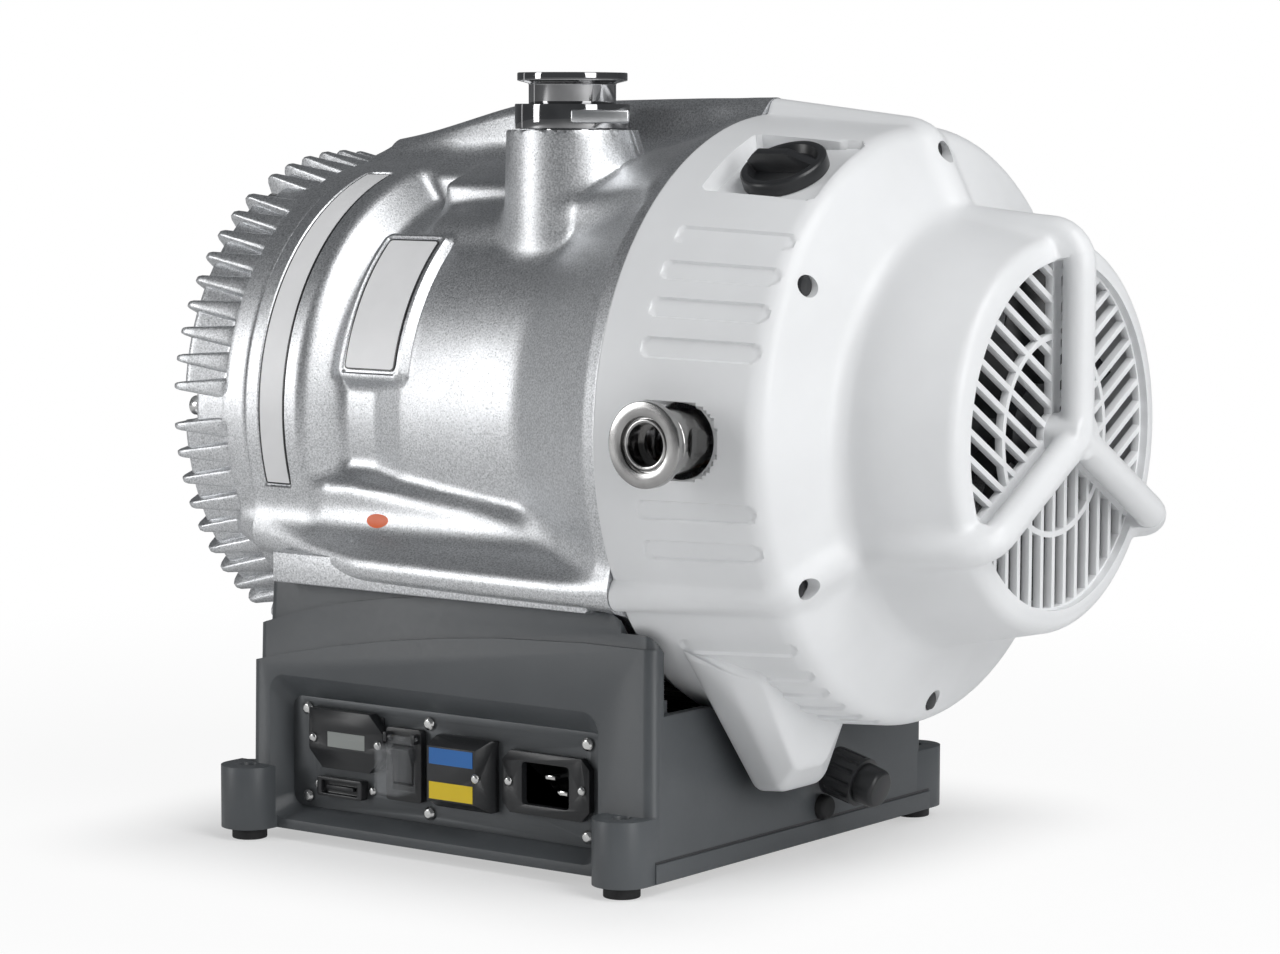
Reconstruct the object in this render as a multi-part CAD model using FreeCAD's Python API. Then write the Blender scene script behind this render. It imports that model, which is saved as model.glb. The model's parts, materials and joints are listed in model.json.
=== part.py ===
# Dry scroll vacuum pump as an assembly of separate pieces.
# Frame: +X runs along the shaft towards the fan, -Y is the operating side, +Z is up.
# The origin is on the floor, in the middle of the four feet and under the shaft. Millimetres.
# A "turn" is an angle about the shaft: 0 faces the front, 90 is up, 180 is the back, 270 is down.
import FreeCAD, Part
import math
import os

V = FreeCAD.Vector

# Shared clearances
free_gap = 0.3
running_fit = 0.04
seat_gap = 0.1

# Shaft line
shaft_height = 220.0

# Stations along the shaft, from the cover joint
cover_joint_x = -124.0
housing_length = 240.0
cowl_length = 164.0

# Scroll set
wrap_step = 9.0
wrap_thickness = 4.5
wrap_side_gap = 0.4
wrap_first_radius = 10.0
wrap_arcs = 9
wrap_height = 31.6
wrap_tip_gap = 0.4
tip_seal_width = 2.0
tip_seal_depth = 1.6
discharge_radius = 3.0
orbit_plate_thickness = 10.0
orbit_plate_edge = 4.0
orbit_hub_length = 26.0
orbit_hub_wall = 7.0

# Finned end cover, which is the fixed scroll
cover_floor_depth = 20.0
cover_plate_thickness = 14.0
cover_rim_radius = 125.0
cover_ring_inner = 107.0
cover_ring_outer = 126.5
cover_ring_height = 9.5
cover_root_radius = 121.0
cover_wall_radius = 104.0
cover_spigot_length = 5.0
fins_per_sector = 9
fin_first_turn = 4.2
fin_thickness = 3.4
fin_root_thickness = 8.5
fin_tip_radius = 131.0
fin_face_height = 13.0
fin_inner_radius = 56.0
fin_run_out = 16.0
cover_boss_radius = 30.0
cover_boss_height = 9.0
cover_bolt_slot = 14.0
cover_bolt_circle = 119.5
cover_bolt_count = 6
cover_bolt_radius = 3.0
cover_bolt_head_radius = 5.0
cover_bolt_head_height = 6.0
cover_bolt_bite = 14.0
cover_lug_length = 14.0
cover_lug_height = 128.0
cover_pocket_radius = 7.5
cover_seal_width = 2.5
cover_seal_depth = 2.4

# Pump housing casting
flange_radius = 126.0
flange_length = 37.0
strip_recess_length = 18.0
strip_recess_depth = 1.0
strip_recess_from = -18.0
strip_recess_to = 72.0
flange_round = 9.0
waist_radius = 108.0
waist_from = 14.0
waist_to = 34.0
barrel_from = 53.0
flare_from = 127.0
body_radius = 113.0
chamber_radius = 101.0
mouth_radius = 108.0
flare_radius = 148.0
end_wall_thickness = 16.0
spigot_length = 8.0
spigot_wall = 6.0
bearing_tube_radius = 40.0
bearing_tube_start = 64.0
bellows_flange_radius = 50.0
bellows_flange_thickness = 6.0
plate_pad_height = 4.0
plate_pad_from = 9.0
plate_pad_to = 50.5
plate_pad_start = 52.5
plate_pad_length = 42.0
plate_pocket_rim = 3.5
rail_width = 14.0
rail_inset = 24.0
air_slot_turns = (118.0, 132.0, 168.0, 182.0, 228.0, 242.0, 256.0, 284.0, 298.0, 312.0)
air_slot_span = 9.0
air_slot_inner = 119.0
air_slot_outer = 138.0

# Tubular bars that run from the cover joint over the cowl to its hub
bar_radius = 8.0
bar_turns = (90.0, -30.0, 210.0)
bar_foot_half_width = 26.0
bar_smoothing = 4
bar_heights = ((0.0, 135.5), (15.0, 139.2), (44.4, 146.5), (76.4, 154.3), (91.0, 156.0), (196.0, 158.5))

# Raised ledges beside the bars: distance past the cover joint, half width, edge radius and middle radius
ledge_round = 6.0
ledge_sections = (
    (36.0, 28.0, 120.5, 128.0), (64.0, 28.0, 120.5, 128.0), (139.0, 21.0, 122.0, 129.0),
    (184.0, 14.0, 123.0, 130.0),
    (224.0, 13.0, 123.0, 130.0),
)
top_ledge_turns = (66.0, 114.0)
top_ledge_profile = ((58.0, 106.0), (68.0, 124.5), (152.0, 126.0), (166.0, 106.0))
shoulder_turns = (47.0, 133.0)
shoulder_profile = (
    (66.0, 106.0), (74.0, 113.0), (124.0, 118.5), (172.0, 133.0), (228.0, 142.0), (228.0, 106.0),
)

# Inlet on the housing
inlet_x = 27.0
inlet_y = -48.0
inlet_top = 391.0
inlet_boss_radius = 32.7
inlet_boss_top = 363.0
inlet_boss_draft = 0.06
inlet_bore_radius = 19.0
inlet_neck_radius = 21.8
inlet_flange_radius = 27.5
inlet_flange_thickness = 4.0
inlet_recess_radius = 20.6
inlet_recess_depth = 3.0
inlet_collar_radius = 28.7
inlet_collar_height = 12.5
inlet_clamp_turn = 36.0
inlet_clamp_reach = 27.0
inlet_clamp_width = 15.0
inlet_clamp_height = 6.5
strainer_wall = 1.0
strainer_depth = 18.0

# Exhaust on the cowl's front
exhaust_reach = 47.0
exhaust_height = 221.0
exhaust_face_y = -172.0
exhaust_flange_radius = 20.0
exhaust_flange_thickness = 4.0
exhaust_recess_radius = 13.1
exhaust_recess_depth = 3.0
exhaust_bore_radius = 10.0
exhaust_neck_radius = 13.5
exhaust_hex_flat = 15.0
exhaust_start_y = -128.0
passage_radius = 5.0
passage_circle = 112.5
passage_turn = -30.0
exhaust_pipe_wall = 2.5
exhaust_bend_radius = 14.0
exhaust_pad_radius = 13.0
exhaust_pad_thickness = 6.0
valve_disc_radius = 7.5
valve_disc_thickness = 3.0
valve_travel = 4.0
valve_spring_wire = 1.2
valve_spring_turns = 3
valve_stop_wall = 3.0

# Fan cowl
cowl_wall = 3.0
cowl_rim_radius = 151.0
cowl_drum_length = 88.0
cowl_drum_end_radius = 145.0
cowl_drum_end_fillet = 13.0
cowl_shoulder_inner_radius = 105.0
cowl_shoulder_depth = 14.0
cowl_nose_radius = 93.5
grille_opening_radius = 83.0
cowl_screw_circle = 133.0
cowl_screw_turns = (33.0, 90.0, 147.0, 210.0, 270.0, 330.0)
cowl_screw_radius = 2.5
cowl_screw_head_radius = 4.6
cowl_screw_head_height = 4.0
cowl_screw_length = 20.0
cowl_screw_hole_depth = 24.0
post_radius = 5.5
groove_places = (
    (39.5, 22.0), (31.9, 22.0), (24.5, 22.0), (17.0, 22.0), (-12.4, 22.0), (-20.0, 22.0), (-42.0, 23.0),
    (-50.0, 21.0), (-56.0, 53.0), (-62.5, 53.0), (-69.0, 54.0), (-75.0, 58.0),
)
groove_width = 9.0
groove_depth = 1.2
exhaust_dish_width = 44.0
exhaust_dish_height = 34.0
exhaust_dish_depth = 5.0
exhaust_dish_backing = 5.0
exhaust_dish_run = 8.0
exhaust_hole_gap = 3.0
lobe_wall = 3.0
lobe_gap = 3.0

# Sections of the lobe: distance from the base's end, then (y, z, fillet) corners
lobe_sections = (
    (0.0, ((-122.0, 128.0, 0), (-46.0, 39.0, 10), (6.0, 39.0, 14), (24.0, 84.0, 0), (12.0, 128.0, 0))),
    (25.0, ((-114.0, 116.0, 0), (-58.0, 42.0, 10), (-10.0, 42.0, 13), (7.0, 84.0, 0), (-3.0, 118.0, 0))),
    (37.0, ((-102.0, 112.0, 0), (-62.0, 51.0, 9), (-29.0, 51.0, 12), (-12.0, 85.0, 0), (-19.0, 112.0, 0))),
)

# Grille insert and slats
grille_thickness = 4.0
slat_thickness = 2.8
slat_pitch = 10.7
grille_ring_radius = 47.0
grille_rim_width = 4.0
bar_stand_out = 8.0

# Gas ballast control
knob_reach = 54.6
knob_turn = 60.5
knob_panel_height = 140.0
knob_panel_half_length = 31.0
knob_panel_half_width = 26.0
knob_radius = 21.2
knob_rim_height = 7.0
knob_dish_depth = 4.0
knob_handle_height = 13.0
knob_handle_thickness = 5.0
spindle_radius = 4.0
spindle_length = 16.0
ballast_body_radius = 11.0
ballast_body_length = 30.0
ballast_pipe_radius = 6.0

# Crank shaft and bearings
pin_radius = 10.0
pin_length = 24.0
orbit_bearing_width = 20.0
orbit_bearing_section = 10.0
cheek_radius = 21.0
cheek_thickness = 8.0
weight_radius = 33.0
weight_thickness = 12.0
front_journal_radius = 15.0
front_bearing_radius = 31.0
front_bearing_width = 16.0
shaft_middle_radius = 18.0
rear_journal_radius = 12.5
rear_bearing_radius = 26.0
rear_bearing_width = 15.0
end_journal_radius = 10.0
end_bearing_radius = 21.0
end_bearing_width = 12.0
fan_journal_radius = 8.0
bearing_groove_depth = 0.8
bellows_inner_radius = 38.5
bellows_outer_radius = 49.0
bellows_folds = 6
bellows_sheet = 1.2

# Motor and fan
motor_frame_radius = 72.0
motor_frame_wall = 7.0
motor_rib_count = 12
motor_rib_height = 5.0
motor_rib_width = 4.0
end_shield_thickness = 12.0
rotor_radius = 36.0
rotor_margin = 8.0
air_gap = 0.5
winding_overhang = 14.0
winding_depth = 20.0
fan_hub_radius = 24.0
fan_hub_length = 24.0
fan_tip_radius = 80.0
fan_blade_count = 7
fan_blade_thickness = 2.5
fan_blade_chord = 26.0
fan_root_pitch = 52.0
fan_tip_pitch = 30.0
fan_grille_gap = 9.0
fan_motor_gap = 5.0

# Base casting
foot_spacing_x = 239.0
foot_spacing_y = 258.0
foot_radius = 9.0
foot_height = 6.0
lug_radius = 14.5
lug_top = 38.0
lug_hole_radius = 4.75
base_left_x = -123.5
base_right_x = 134.0
base_front_y = -124.2
base_back_y = 116.0
base_top_drop = 86.0
base_step = 1.6
base_left_foot = (0.0, 1.5, 2.5)
base_left_top = (1.5, 5.0, 11.5)
base_wall = 5.5
base_corner_radius = 6.0
lower_arch_drops = (43.0, 19.0, 15.5)
upper_arch_drops = (24.0, 6.4)
upper_arch_right_x = 27.0
arch_middle_x = 22.0
window_sill_drop = 48.0
window_width = 58.0
cradle_gap = 4.0
bottom_plate_thickness = 2.0
bottom_plate_inset = 0.5

# Control panel in the front of the base
panel_centre_x = -4.0
panel_centre_z = 45.0
panel_length = 200.0
panel_height = 57.0
panel_thickness = 2.0
panel_depth = 12.2
panel_ledge = 6.0
panel_mouth_side = 6.0
panel_mouth_top = 13.0
panel_mouth_bottom = 6.0
panel_corner_radius = 7.0
panel_screw_insets = (10.5, 9.5)
panel_middle_screw = -0.045
panel_screw_z = (22.0, 67.5)
panel_screw_radius = 3.4
panel_screw_height = 2.2
device_screw_radius = 2.4
device_screw_height = 1.6
cut_out_gap = 0.5

# Panel devices: centre and width as shares of the panel's length, then centre z, height, stand-out and depth
hour_meter_share = (-0.298, 0.245, 54.0, 30.0, 6.0, 26.0)
logic_share = (-0.325, 0.15, 29.0, 10.0, 5.0, 18.0)
switch_share = (-0.115, 0.115, 45.5, 37.0, 4.0, 24.0)
selector_share = (0.085, 0.18, 45.5, 36.0, 12.0, 20.0)
power_share = (0.335, 0.27, 45.0, 31.0, 4.0, 30.0)
device_body_inset = 4.0
switch_side_wall = 1.5
hour_window_width = 25.0
hour_window_height = 8.0
hour_window_thickness = 1.0
logic_recess_depth = 3.0
rocker_height = 19.5
rocker_pin_radius = 1.25
rocker_stand_out = 6.0
rocker_depth = 4.0
guard_side_room = 1.75
guard_height = 27.0
guard_depth = 13.0
guard_wall = 0.8
guard_pin_radius = 1.2
power_cavity_width = 29.0
power_cavity_height = 21.0
power_cavity_depth = 18.0
power_pin_length = 14.0
power_pin_width = 6.0
power_pin_thickness = 2.0

# Drive electronics under the housing
module_length = 150.0
module_width = 120.0
module_height = 52.0
module_fin_count = 10
module_fin_height = 8.0

# Connector and grommet on the base's end wall, behind the lobe
connector_y = 18.5
connector_z = 44.6
connector_drop = 14.5
socket_radius = 9.0
socket_length = 14.0
socket_stub_radius = 6.0
collar_start = 8.4
collar_radius = 12.5
collar_length = 18.5
collar_rib_count = 12
cap_radius = 10.5
cap_length = 11.0
grommet_y = 20.0
grommet_z = 22.5
grommet_radius = 6.5
grommet_height = 5.0

# Stations and radii worked out from the values above
base_top = shaft_height - base_top_drop
bar_end_height = bar_heights[-1][1]
orbit_radius = wrap_step - wrap_thickness - wrap_side_gap
cover_floor_x = cover_joint_x - cover_floor_depth
cover_face_x = cover_floor_x - cover_plate_thickness
fin_end_x = cover_face_x - fin_face_height
orbit_face_x = cover_floor_x + wrap_height + wrap_tip_gap
orbit_back_x = orbit_face_x + orbit_plate_thickness
wrap_outer_radius = wrap_first_radius + (wrap_arcs - 1) * wrap_step + wrap_step / 2 + wrap_thickness / 2
orbit_plate_radius = wrap_outer_radius + orbit_plate_edge
pin_height = shaft_height + orbit_radius
pin_start_x = orbit_back_x + 4.0
cheek_x = pin_start_x + pin_length
housing_end_x = cover_joint_x + housing_length
flange_end_x = cover_joint_x + flange_length
cowl_rear_x = housing_end_x + 2.0
cowl_front_x = cowl_rear_x + cowl_length
cowl_shoulder_x = cowl_rear_x + cowl_drum_length
bearing_tube_x = cover_joint_x + bearing_tube_start
front_bearing_x = bearing_tube_x + 4.0
rear_bearing_x = housing_end_x - rear_bearing_width - 3.0
fan_end_x = cowl_front_x - fan_grille_gap - grille_thickness
fan_start_x = fan_end_x - fan_hub_length
shield_end_x = fan_start_x - fan_motor_gap
motor_end_x = shield_end_x - end_shield_thickness
end_bearing_x = motor_end_x
rotor_length = motor_end_x - housing_end_x - 2 * (winding_overhang + rotor_margin)
exhaust_x = housing_end_x + exhaust_reach
knob_x = housing_end_x + knob_reach
panel_plane_y = base_front_y + panel_depth
panel_left_x = panel_centre_x - panel_length / 2
panel_right_x = panel_centre_x + panel_length / 2
panel_screw_x = (
    panel_left_x + panel_screw_insets[0], panel_centre_x + panel_middle_screw * panel_length,
    panel_right_x - panel_screw_insets[1],
)
rail_front_y = base_front_y - 8.0


def device_place(shares):
    """Return a device's centre x, centre z, width, height, stand-out and depth."""
    centre, width, z, height, out, depth = shares
    return panel_centre_x + centre * panel_length, z, width * panel_length, height, out, depth


hour_meter_place = device_place(hour_meter_share)
logic_place = device_place(logic_share)
switch_place = device_place(switch_share)
selector_place = device_place(selector_share)
power_place = device_place(power_share)
rocker_width = switch_place[2] - 2 * (device_body_inset + switch_side_wall)
guard_width = rocker_width + 2 * guard_side_room


def at_turn(x, radius, turn):
    """Return the point at station x, at a radius from the shaft line and a turn about it."""
    angle = math.radians(turn)
    return V(x, -radius * math.cos(angle), shaft_height + radius * math.sin(angle))


def disc(x0, x1, radius, height=shaft_height):
    """Return a cylinder along X between two stations."""
    return Part.makeCylinder(radius, x1 - x0, V(x0, 0, height), V(1, 0, 0))


def ring(x0, x1, outer, inner, height=shaft_height):
    """Return a tube along X between two stations."""
    return disc(x0, x1, outer, height).cut(disc(x0, x1, inner, height))


def box(x0, x1, y0, y1, z0, z1):
    """Return an upright box between two corners."""
    return Part.makeBox(x1 - x0, y1 - y0, z1 - z0, V(x0, y0, z0))


def rounded_wire(corners, place):
    """Return a closed wire through (u, v, radius) corners, with an arc at each one that has a radius."""
    edges = []
    count = len(corners)
    starts = []
    ends = []
    middles = []
    for i, (u, v, radius) in enumerate(corners):
        before = corners[i - 1]
        after = corners[(i + 1) % count]
        to_before = (before[0] - u, before[1] - v)
        to_after = (after[0] - u, after[1] - v)
        length_before = math.hypot(*to_before)
        length_after = math.hypot(*to_after)
        one = (to_before[0] / length_before, to_before[1] / length_before)
        two = (to_after[0] / length_after, to_after[1] / length_after)
        half = math.acos(max(-1.0, min(1.0, one[0] * two[0] + one[1] * two[1]))) / 2
        if radius <= 0 or half > math.radians(89.5):
            starts.append((u, v))
            ends.append((u, v))
            middles.append(None)
            continue
        tangent = radius / math.tan(half)
        starts.append((u + one[0] * tangent, v + one[1] * tangent))
        ends.append((u + two[0] * tangent, v + two[1] * tangent))
        way = (one[0] + two[0], one[1] + two[1])
        size = math.hypot(*way)
        reach = radius / math.sin(half) - radius
        middles.append((u + way[0] / size * reach, v + way[1] / size * reach))
    for i in range(count):
        if middles[i]:
            arc = Part.Arc(place(*starts[i]), place(*middles[i]), place(*ends[i]))
            edges.append(arc.toShape())
        here = place(*ends[i])
        there = place(*starts[(i + 1) % count])
        if here.distanceToPoint(there) > 1e-6:
            edges.append(Part.LineSegment(here, there).toShape())
    return Part.Wire(edges)


def turned(corners, height=shaft_height):
    """Revolve a closed profile of (x, radius, fillet) corners about the line along X at a height."""
    face = Part.Face(rounded_wire(corners, lambda x, r: V(x, 0, height + r)))
    return face.revolve(V(0, 0, height), V(1, 0, 0), 360)


def turned_about(corners, origin, axis, side):
    """Revolve a profile of (along, radius, fillet) corners about an axis; side is its radial direction."""
    face = Part.Face(rounded_wire(corners, lambda u, r: origin + axis * u + side * r))
    return face.revolve(origin, axis, 360)


def prism_x(corners, x0, x1):
    """Extrude a closed outline of (y, z, fillet) corners along X."""
    return Part.Face(rounded_wire(corners, lambda y, z: V(x0, y, z))).extrude(V(x1 - x0, 0, 0))


def prism_y(corners, y0, y1):
    """Extrude a closed outline of (x, z, fillet) corners along Y."""
    return Part.Face(rounded_wire(corners, lambda x, z: V(x, y0, z))).extrude(V(0, y1 - y0, 0))


def plate_outline(x0, x1, z0, z1, radius):
    """Return the corners of an upright rectangle with one corner radius."""
    return [(x0, z0, radius), (x1, z0, radius), (x1, z1, radius), (x0, z1, radius)]


def around(shape, turn):
    """Return a copy of a shape made at turn 0, carried round the shaft line."""
    copy = shape.copy()
    copy.rotate(V(0, 0, shaft_height), V(1, 0, 0), -turn)
    return copy


def along(x0, x1, radius, circle, turn):
    """Return a cylinder along X, its axis on a circle about the shaft line."""
    start = at_turn(x0, circle, turn)
    return Part.makeCylinder(radius, x1 - x0, start, V(1, 0, 0))


def radial_cylinder(x, start, length, radius, turn):
    """Return a cylinder that points away from the shaft line."""
    axis = at_turn(0, 1, turn) - V(0, 0, shaft_height)
    return Part.makeCylinder(radius, length, at_turn(x, start, turn), axis)


def together(shapes):
    """Fuse shapes into one clean solid."""
    first = shapes[0]
    if len(shapes) == 1:
        return first
    return first.fuse(shapes[1:]).removeSplitter()


def scroll_wall(width, x0, x1, mirrored, height):
    """Return a spiral wall of semicircles about two centres, a wrap_step apart.

    Every turn keeps the same spacing, so two such walls, one mirrored through the middle point, stay a
    constant distance apart however the second one orbits.
    """
    sign = -1.0 if mirrored else 1.0
    inner = []
    outer = []
    for i in range(wrap_arcs):
        radius = wrap_first_radius + i * wrap_step
        upper = i % 2 == 0
        centre = (-wrap_step / 2 if upper else wrap_step / 2)
        way = 1.0 if upper else -1.0
        for wall, offset in ((inner, -width / 2), (outer, width / 2)):
            r = radius + offset
            begin = (centre + way * r, 0.0)
            middle = (centre, way * r)
            end = (centre - way * r, 0.0)
            wall.append([V(x0, sign * y, height + sign * z) for y, z in (begin, middle, end)])
    edges = [Part.Arc(*points).toShape() for points in inner]
    edges.append(Part.LineSegment(inner[-1][2], outer[-1][2]).toShape())
    edges += [Part.Arc(c, b, a).toShape() for a, b, c in reversed(outer)]
    edges.append(Part.LineSegment(outer[0][0], inner[0][0]).toShape())
    return Part.Face(Part.Wire(edges)).extrude(V(x1 - x0, 0, 0))


def bearing(x, width, outer, inner, height=shaft_height):
    """Return a ball bearing with a shallow groove between its races on both faces."""
    third = (outer - inner) / 3
    d = bearing_groove_depth
    return turned([
        (x, inner, 0), (x, inner + third, 0), (x + d, inner + third, 0), (x + d, outer - third, 0),
        (x, outer - third, 0), (x, outer, 0), (x + width, outer, 0), (x + width, outer - third, 0),
        (x + width - d, outer - third, 0), (x + width - d, inner + third, 0), (x + width, inner + third, 0),
        (x + width, inner, 0),
    ], height)


# Scroll set
def make_fixed_scroll():
    """Finned cover with the fixed wrap, discharge port and exhaust passage."""
    spigot_x = cover_joint_x + cover_spigot_length
    ring_x = cover_face_x - cover_ring_height
    body = turned([
        (cover_face_x, 0, 0), (cover_face_x, cover_ring_inner, 0), (ring_x, cover_ring_inner + 3, 0),
        (ring_x, cover_ring_outer - 2, 0), (ring_x + 3, cover_ring_outer, 0),
        (cover_joint_x - fin_run_out, cover_root_radius, 0),
        (cover_joint_x - fin_run_out + 2, cover_rim_radius, 0), (cover_joint_x, cover_rim_radius, 0),
        (cover_joint_x, mouth_radius - seat_gap, 0), (spigot_x, mouth_radius - seat_gap, 0),
        (spigot_x, cover_wall_radius, 0), (cover_floor_x, cover_wall_radius, 0), (cover_floor_x, 0, 0),
    ])
    fin = prism_fin()
    pieces = [body, disc(cover_face_x - cover_boss_height, cover_face_x + 1, cover_boss_radius)]
    sector_turn = 360.0 / cover_bolt_count
    fin_pitch = (sector_turn - 2 * fin_first_turn) / (fins_per_sector - 1)
    for i in range(cover_bolt_count):
        turn = i * sector_turn
        pieces.append(sector(cover_face_x, cover_joint_x - fin_run_out + 2, cover_rim_radius,
                             cover_root_radius - 12,
                             turn - fin_first_turn, turn + fin_first_turn))
        for j in range(fins_per_sector):
            pieces.append(around(fin, turn + fin_first_turn + j * fin_pitch))
    pieces += [around(cover_lug(), turn) for turn in bar_turns]
    pieces.append(scroll_wall(wrap_thickness, cover_floor_x - 1, orbit_face_x - wrap_tip_gap, False,
                              shaft_height))
    cover = together(pieces)
    groove_x = orbit_face_x - wrap_tip_gap - tip_seal_depth
    cuts = [scroll_wall(tip_seal_width, groove_x, orbit_face_x, False, shaft_height)]
    port_x = cover_floor_x - cover_plate_thickness / 2
    cuts.append(disc(port_x, cover_floor_x + 1, discharge_radius))
    cuts.append(radial_cylinder(port_x, 0, passage_circle, discharge_radius, passage_turn))
    cuts.append(along(port_x - discharge_radius - 1, cover_joint_x + 1, passage_radius, passage_circle,
                      passage_turn))
    cuts.append(seal_ring(0.0))
    for i in range(cover_bolt_count):
        turn = i * 360.0 / cover_bolt_count
        cuts.append(along(fin_end_x - 1, bolt_seat_x(), cover_pocket_radius, cover_bolt_circle, turn))
        cuts.append(around(bolt_slot(), turn))
        cuts.append(along(bolt_seat_x() - 1, cover_joint_x + 1, cover_bolt_radius + seat_gap,
                          cover_bolt_circle, turn))
    return cover.cut(cuts)


def bolt_slot():
    """Return the slot at turn 0 that opens a bolt's pocket outwards."""
    half = cover_bolt_slot / 2
    return box(fin_end_x - 1, bolt_seat_x(), -fin_tip_radius - 1, -cover_bolt_circle, shaft_height - half,
               shaft_height + half)


def prism_fin():
    """One cooling fin at turn 0: a wedge on the rim that turns over the corner onto the face."""
    end_x = cover_joint_x - fin_run_out
    tip = fin_tip_radius
    corners = [
        (end_x, cover_root_radius - 3, 0), (end_x, cover_rim_radius, 0), (fin_end_x + 4, tip, 0),
        (fin_end_x, tip - 4, 0), (fin_end_x, fin_inner_radius + 12, 0),
        (cover_face_x - 2, fin_inner_radius, 0),
        (cover_face_x + 2, fin_inner_radius, 0), (cover_face_x + 8, cover_root_radius - 10, 0),
    ]
    z = shaft_height - fin_root_thickness / 2
    face = Part.Face(rounded_wire(corners, lambda x, r: V(x, -r, z)))
    profile = face.extrude(V(0, 0, fin_root_thickness))
    plan = [
        (fin_end_x - 1, -fin_thickness / 2, 0), (end_x, -fin_root_thickness / 2, 0),
        (end_x, fin_root_thickness / 2, 0),
        (fin_end_x - 1, fin_thickness / 2, 0),
    ]
    taper = Part.Face(rounded_wire(plan, lambda x, t: V(x, -tip - 1, shaft_height + t)))
    return profile.common(taper.extrude(V(0, tip + 1, 0)))


def cover_lug():
    """Rise of the cover's rim at turn 0 up to the end of a cast bar."""
    low = cover_root_radius - 8
    sections = [
        bar_section(cover_joint_x - cover_lug_length, cover_lug_height, low),
        bar_section(cover_joint_x, bar_heights[0][1], low),
    ]
    return Part.makeLoft(sections, True, True)


def bolt_seat_x():
    """Return the station of the face under the cover's bolt heads."""
    return cover_face_x


def seal_ring(clearance):
    """Return the ring in the groove of the cover's spigot."""
    x0 = cover_joint_x + (cover_spigot_length - cover_seal_width) / 2
    outer = mouth_radius
    return ring(x0 + clearance, x0 + cover_seal_width - clearance, outer, outer - cover_seal_depth)


def make_cover_bolts():
    """Socket screws that hold the cover to the housing, as one group of separate solids."""
    bolts = []
    for i in range(cover_bolt_count):
        turn = i * 360.0 / cover_bolt_count
        seat = bolt_seat_x()
        head = along(seat - cover_bolt_head_height, seat, cover_bolt_head_radius, cover_bolt_circle, turn)
        shank = along(seat - 1, cover_joint_x + cover_bolt_bite, cover_bolt_radius, cover_bolt_circle, turn)
        socket = along(seat - cover_bolt_head_height - 1, seat - cover_bolt_head_height / 2,
                       cover_bolt_head_radius / 2, cover_bolt_circle, turn)
        bolts.append(together([head, shank]).cut(socket))
    return Part.makeCompound(bolts)


def make_fixed_tip_seal():
    """Strip seal in the tip of the fixed wrap."""
    start = orbit_face_x - wrap_tip_gap - tip_seal_depth
    return scroll_wall(tip_seal_width, start, orbit_face_x - seat_gap, False, shaft_height)


def make_orbiting_tip_seal():
    """Strip seal in the tip of the orbiting wrap."""
    end = cover_floor_x + wrap_tip_gap + tip_seal_depth
    return scroll_wall(tip_seal_width, cover_floor_x + seat_gap, end, True, pin_height)


def make_orbiting_scroll():
    """Orbiting plate with its wrap, the bearing hub and the bellows seat on its back."""
    hub_outer = pin_radius + orbit_bearing_section + orbit_hub_wall
    pieces = [
        disc(orbit_face_x, orbit_back_x, orbit_plate_radius, pin_height),
        scroll_wall(wrap_thickness, cover_floor_x + wrap_tip_gap, orbit_face_x + 1, True, pin_height),
        disc(orbit_back_x - 1, orbit_back_x + orbit_hub_length, hub_outer, pin_height),
        ring(orbit_back_x - 1, orbit_back_x + 3, bellows_outer_radius, bellows_inner_radius, pin_height),
    ]
    scroll = together(pieces)
    end = cover_floor_x + wrap_tip_gap + tip_seal_depth
    cuts = [
        scroll_wall(tip_seal_width, cover_floor_x, end, True, pin_height),
        disc(pin_start_x - 1, orbit_back_x + orbit_hub_length + 1, pin_radius + orbit_bearing_section,
             pin_height),
    ]
    return scroll.cut(cuts)


def make_bellows():
    """Metal bellows from the orbiting scroll's back to the flange of the bearing tube."""
    x0 = orbit_back_x + 3
    x1 = bearing_tube_x
    length = x1 - x0
    lean = math.atan2(orbit_radius, length)
    pitch = length / bellows_folds
    corners = []
    for i in range(bellows_folds):
        start = x0 + i * pitch
        corners.append((start, bellows_inner_radius + bellows_sheet, 0))
        corners.append((start + pitch / 2, bellows_outer_radius, 0))
    corners.append((x1, bellows_inner_radius + bellows_sheet, 0))
    corners.append((x1, bellows_inner_radius, 0))
    for i in range(bellows_folds - 1, -1, -1):
        middle = x0 + (i + 0.5) * pitch
        corners.append((middle, bellows_outer_radius - bellows_sheet, 0))
        corners.append((middle - pitch / 2, bellows_inner_radius, 0))
    body = turned(corners)
    middle = V((x0 + x1) / 2, 0, shaft_height)
    body.rotate(middle, V(0, 1, 0), math.degrees(lean))
    body.translate(V(0, 0, orbit_radius / 2))
    reach = bellows_outer_radius + orbit_radius + 4
    keep = box(x0, x1, -reach, reach, shaft_height - reach, shaft_height + reach)
    return body.common(keep)


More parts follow.
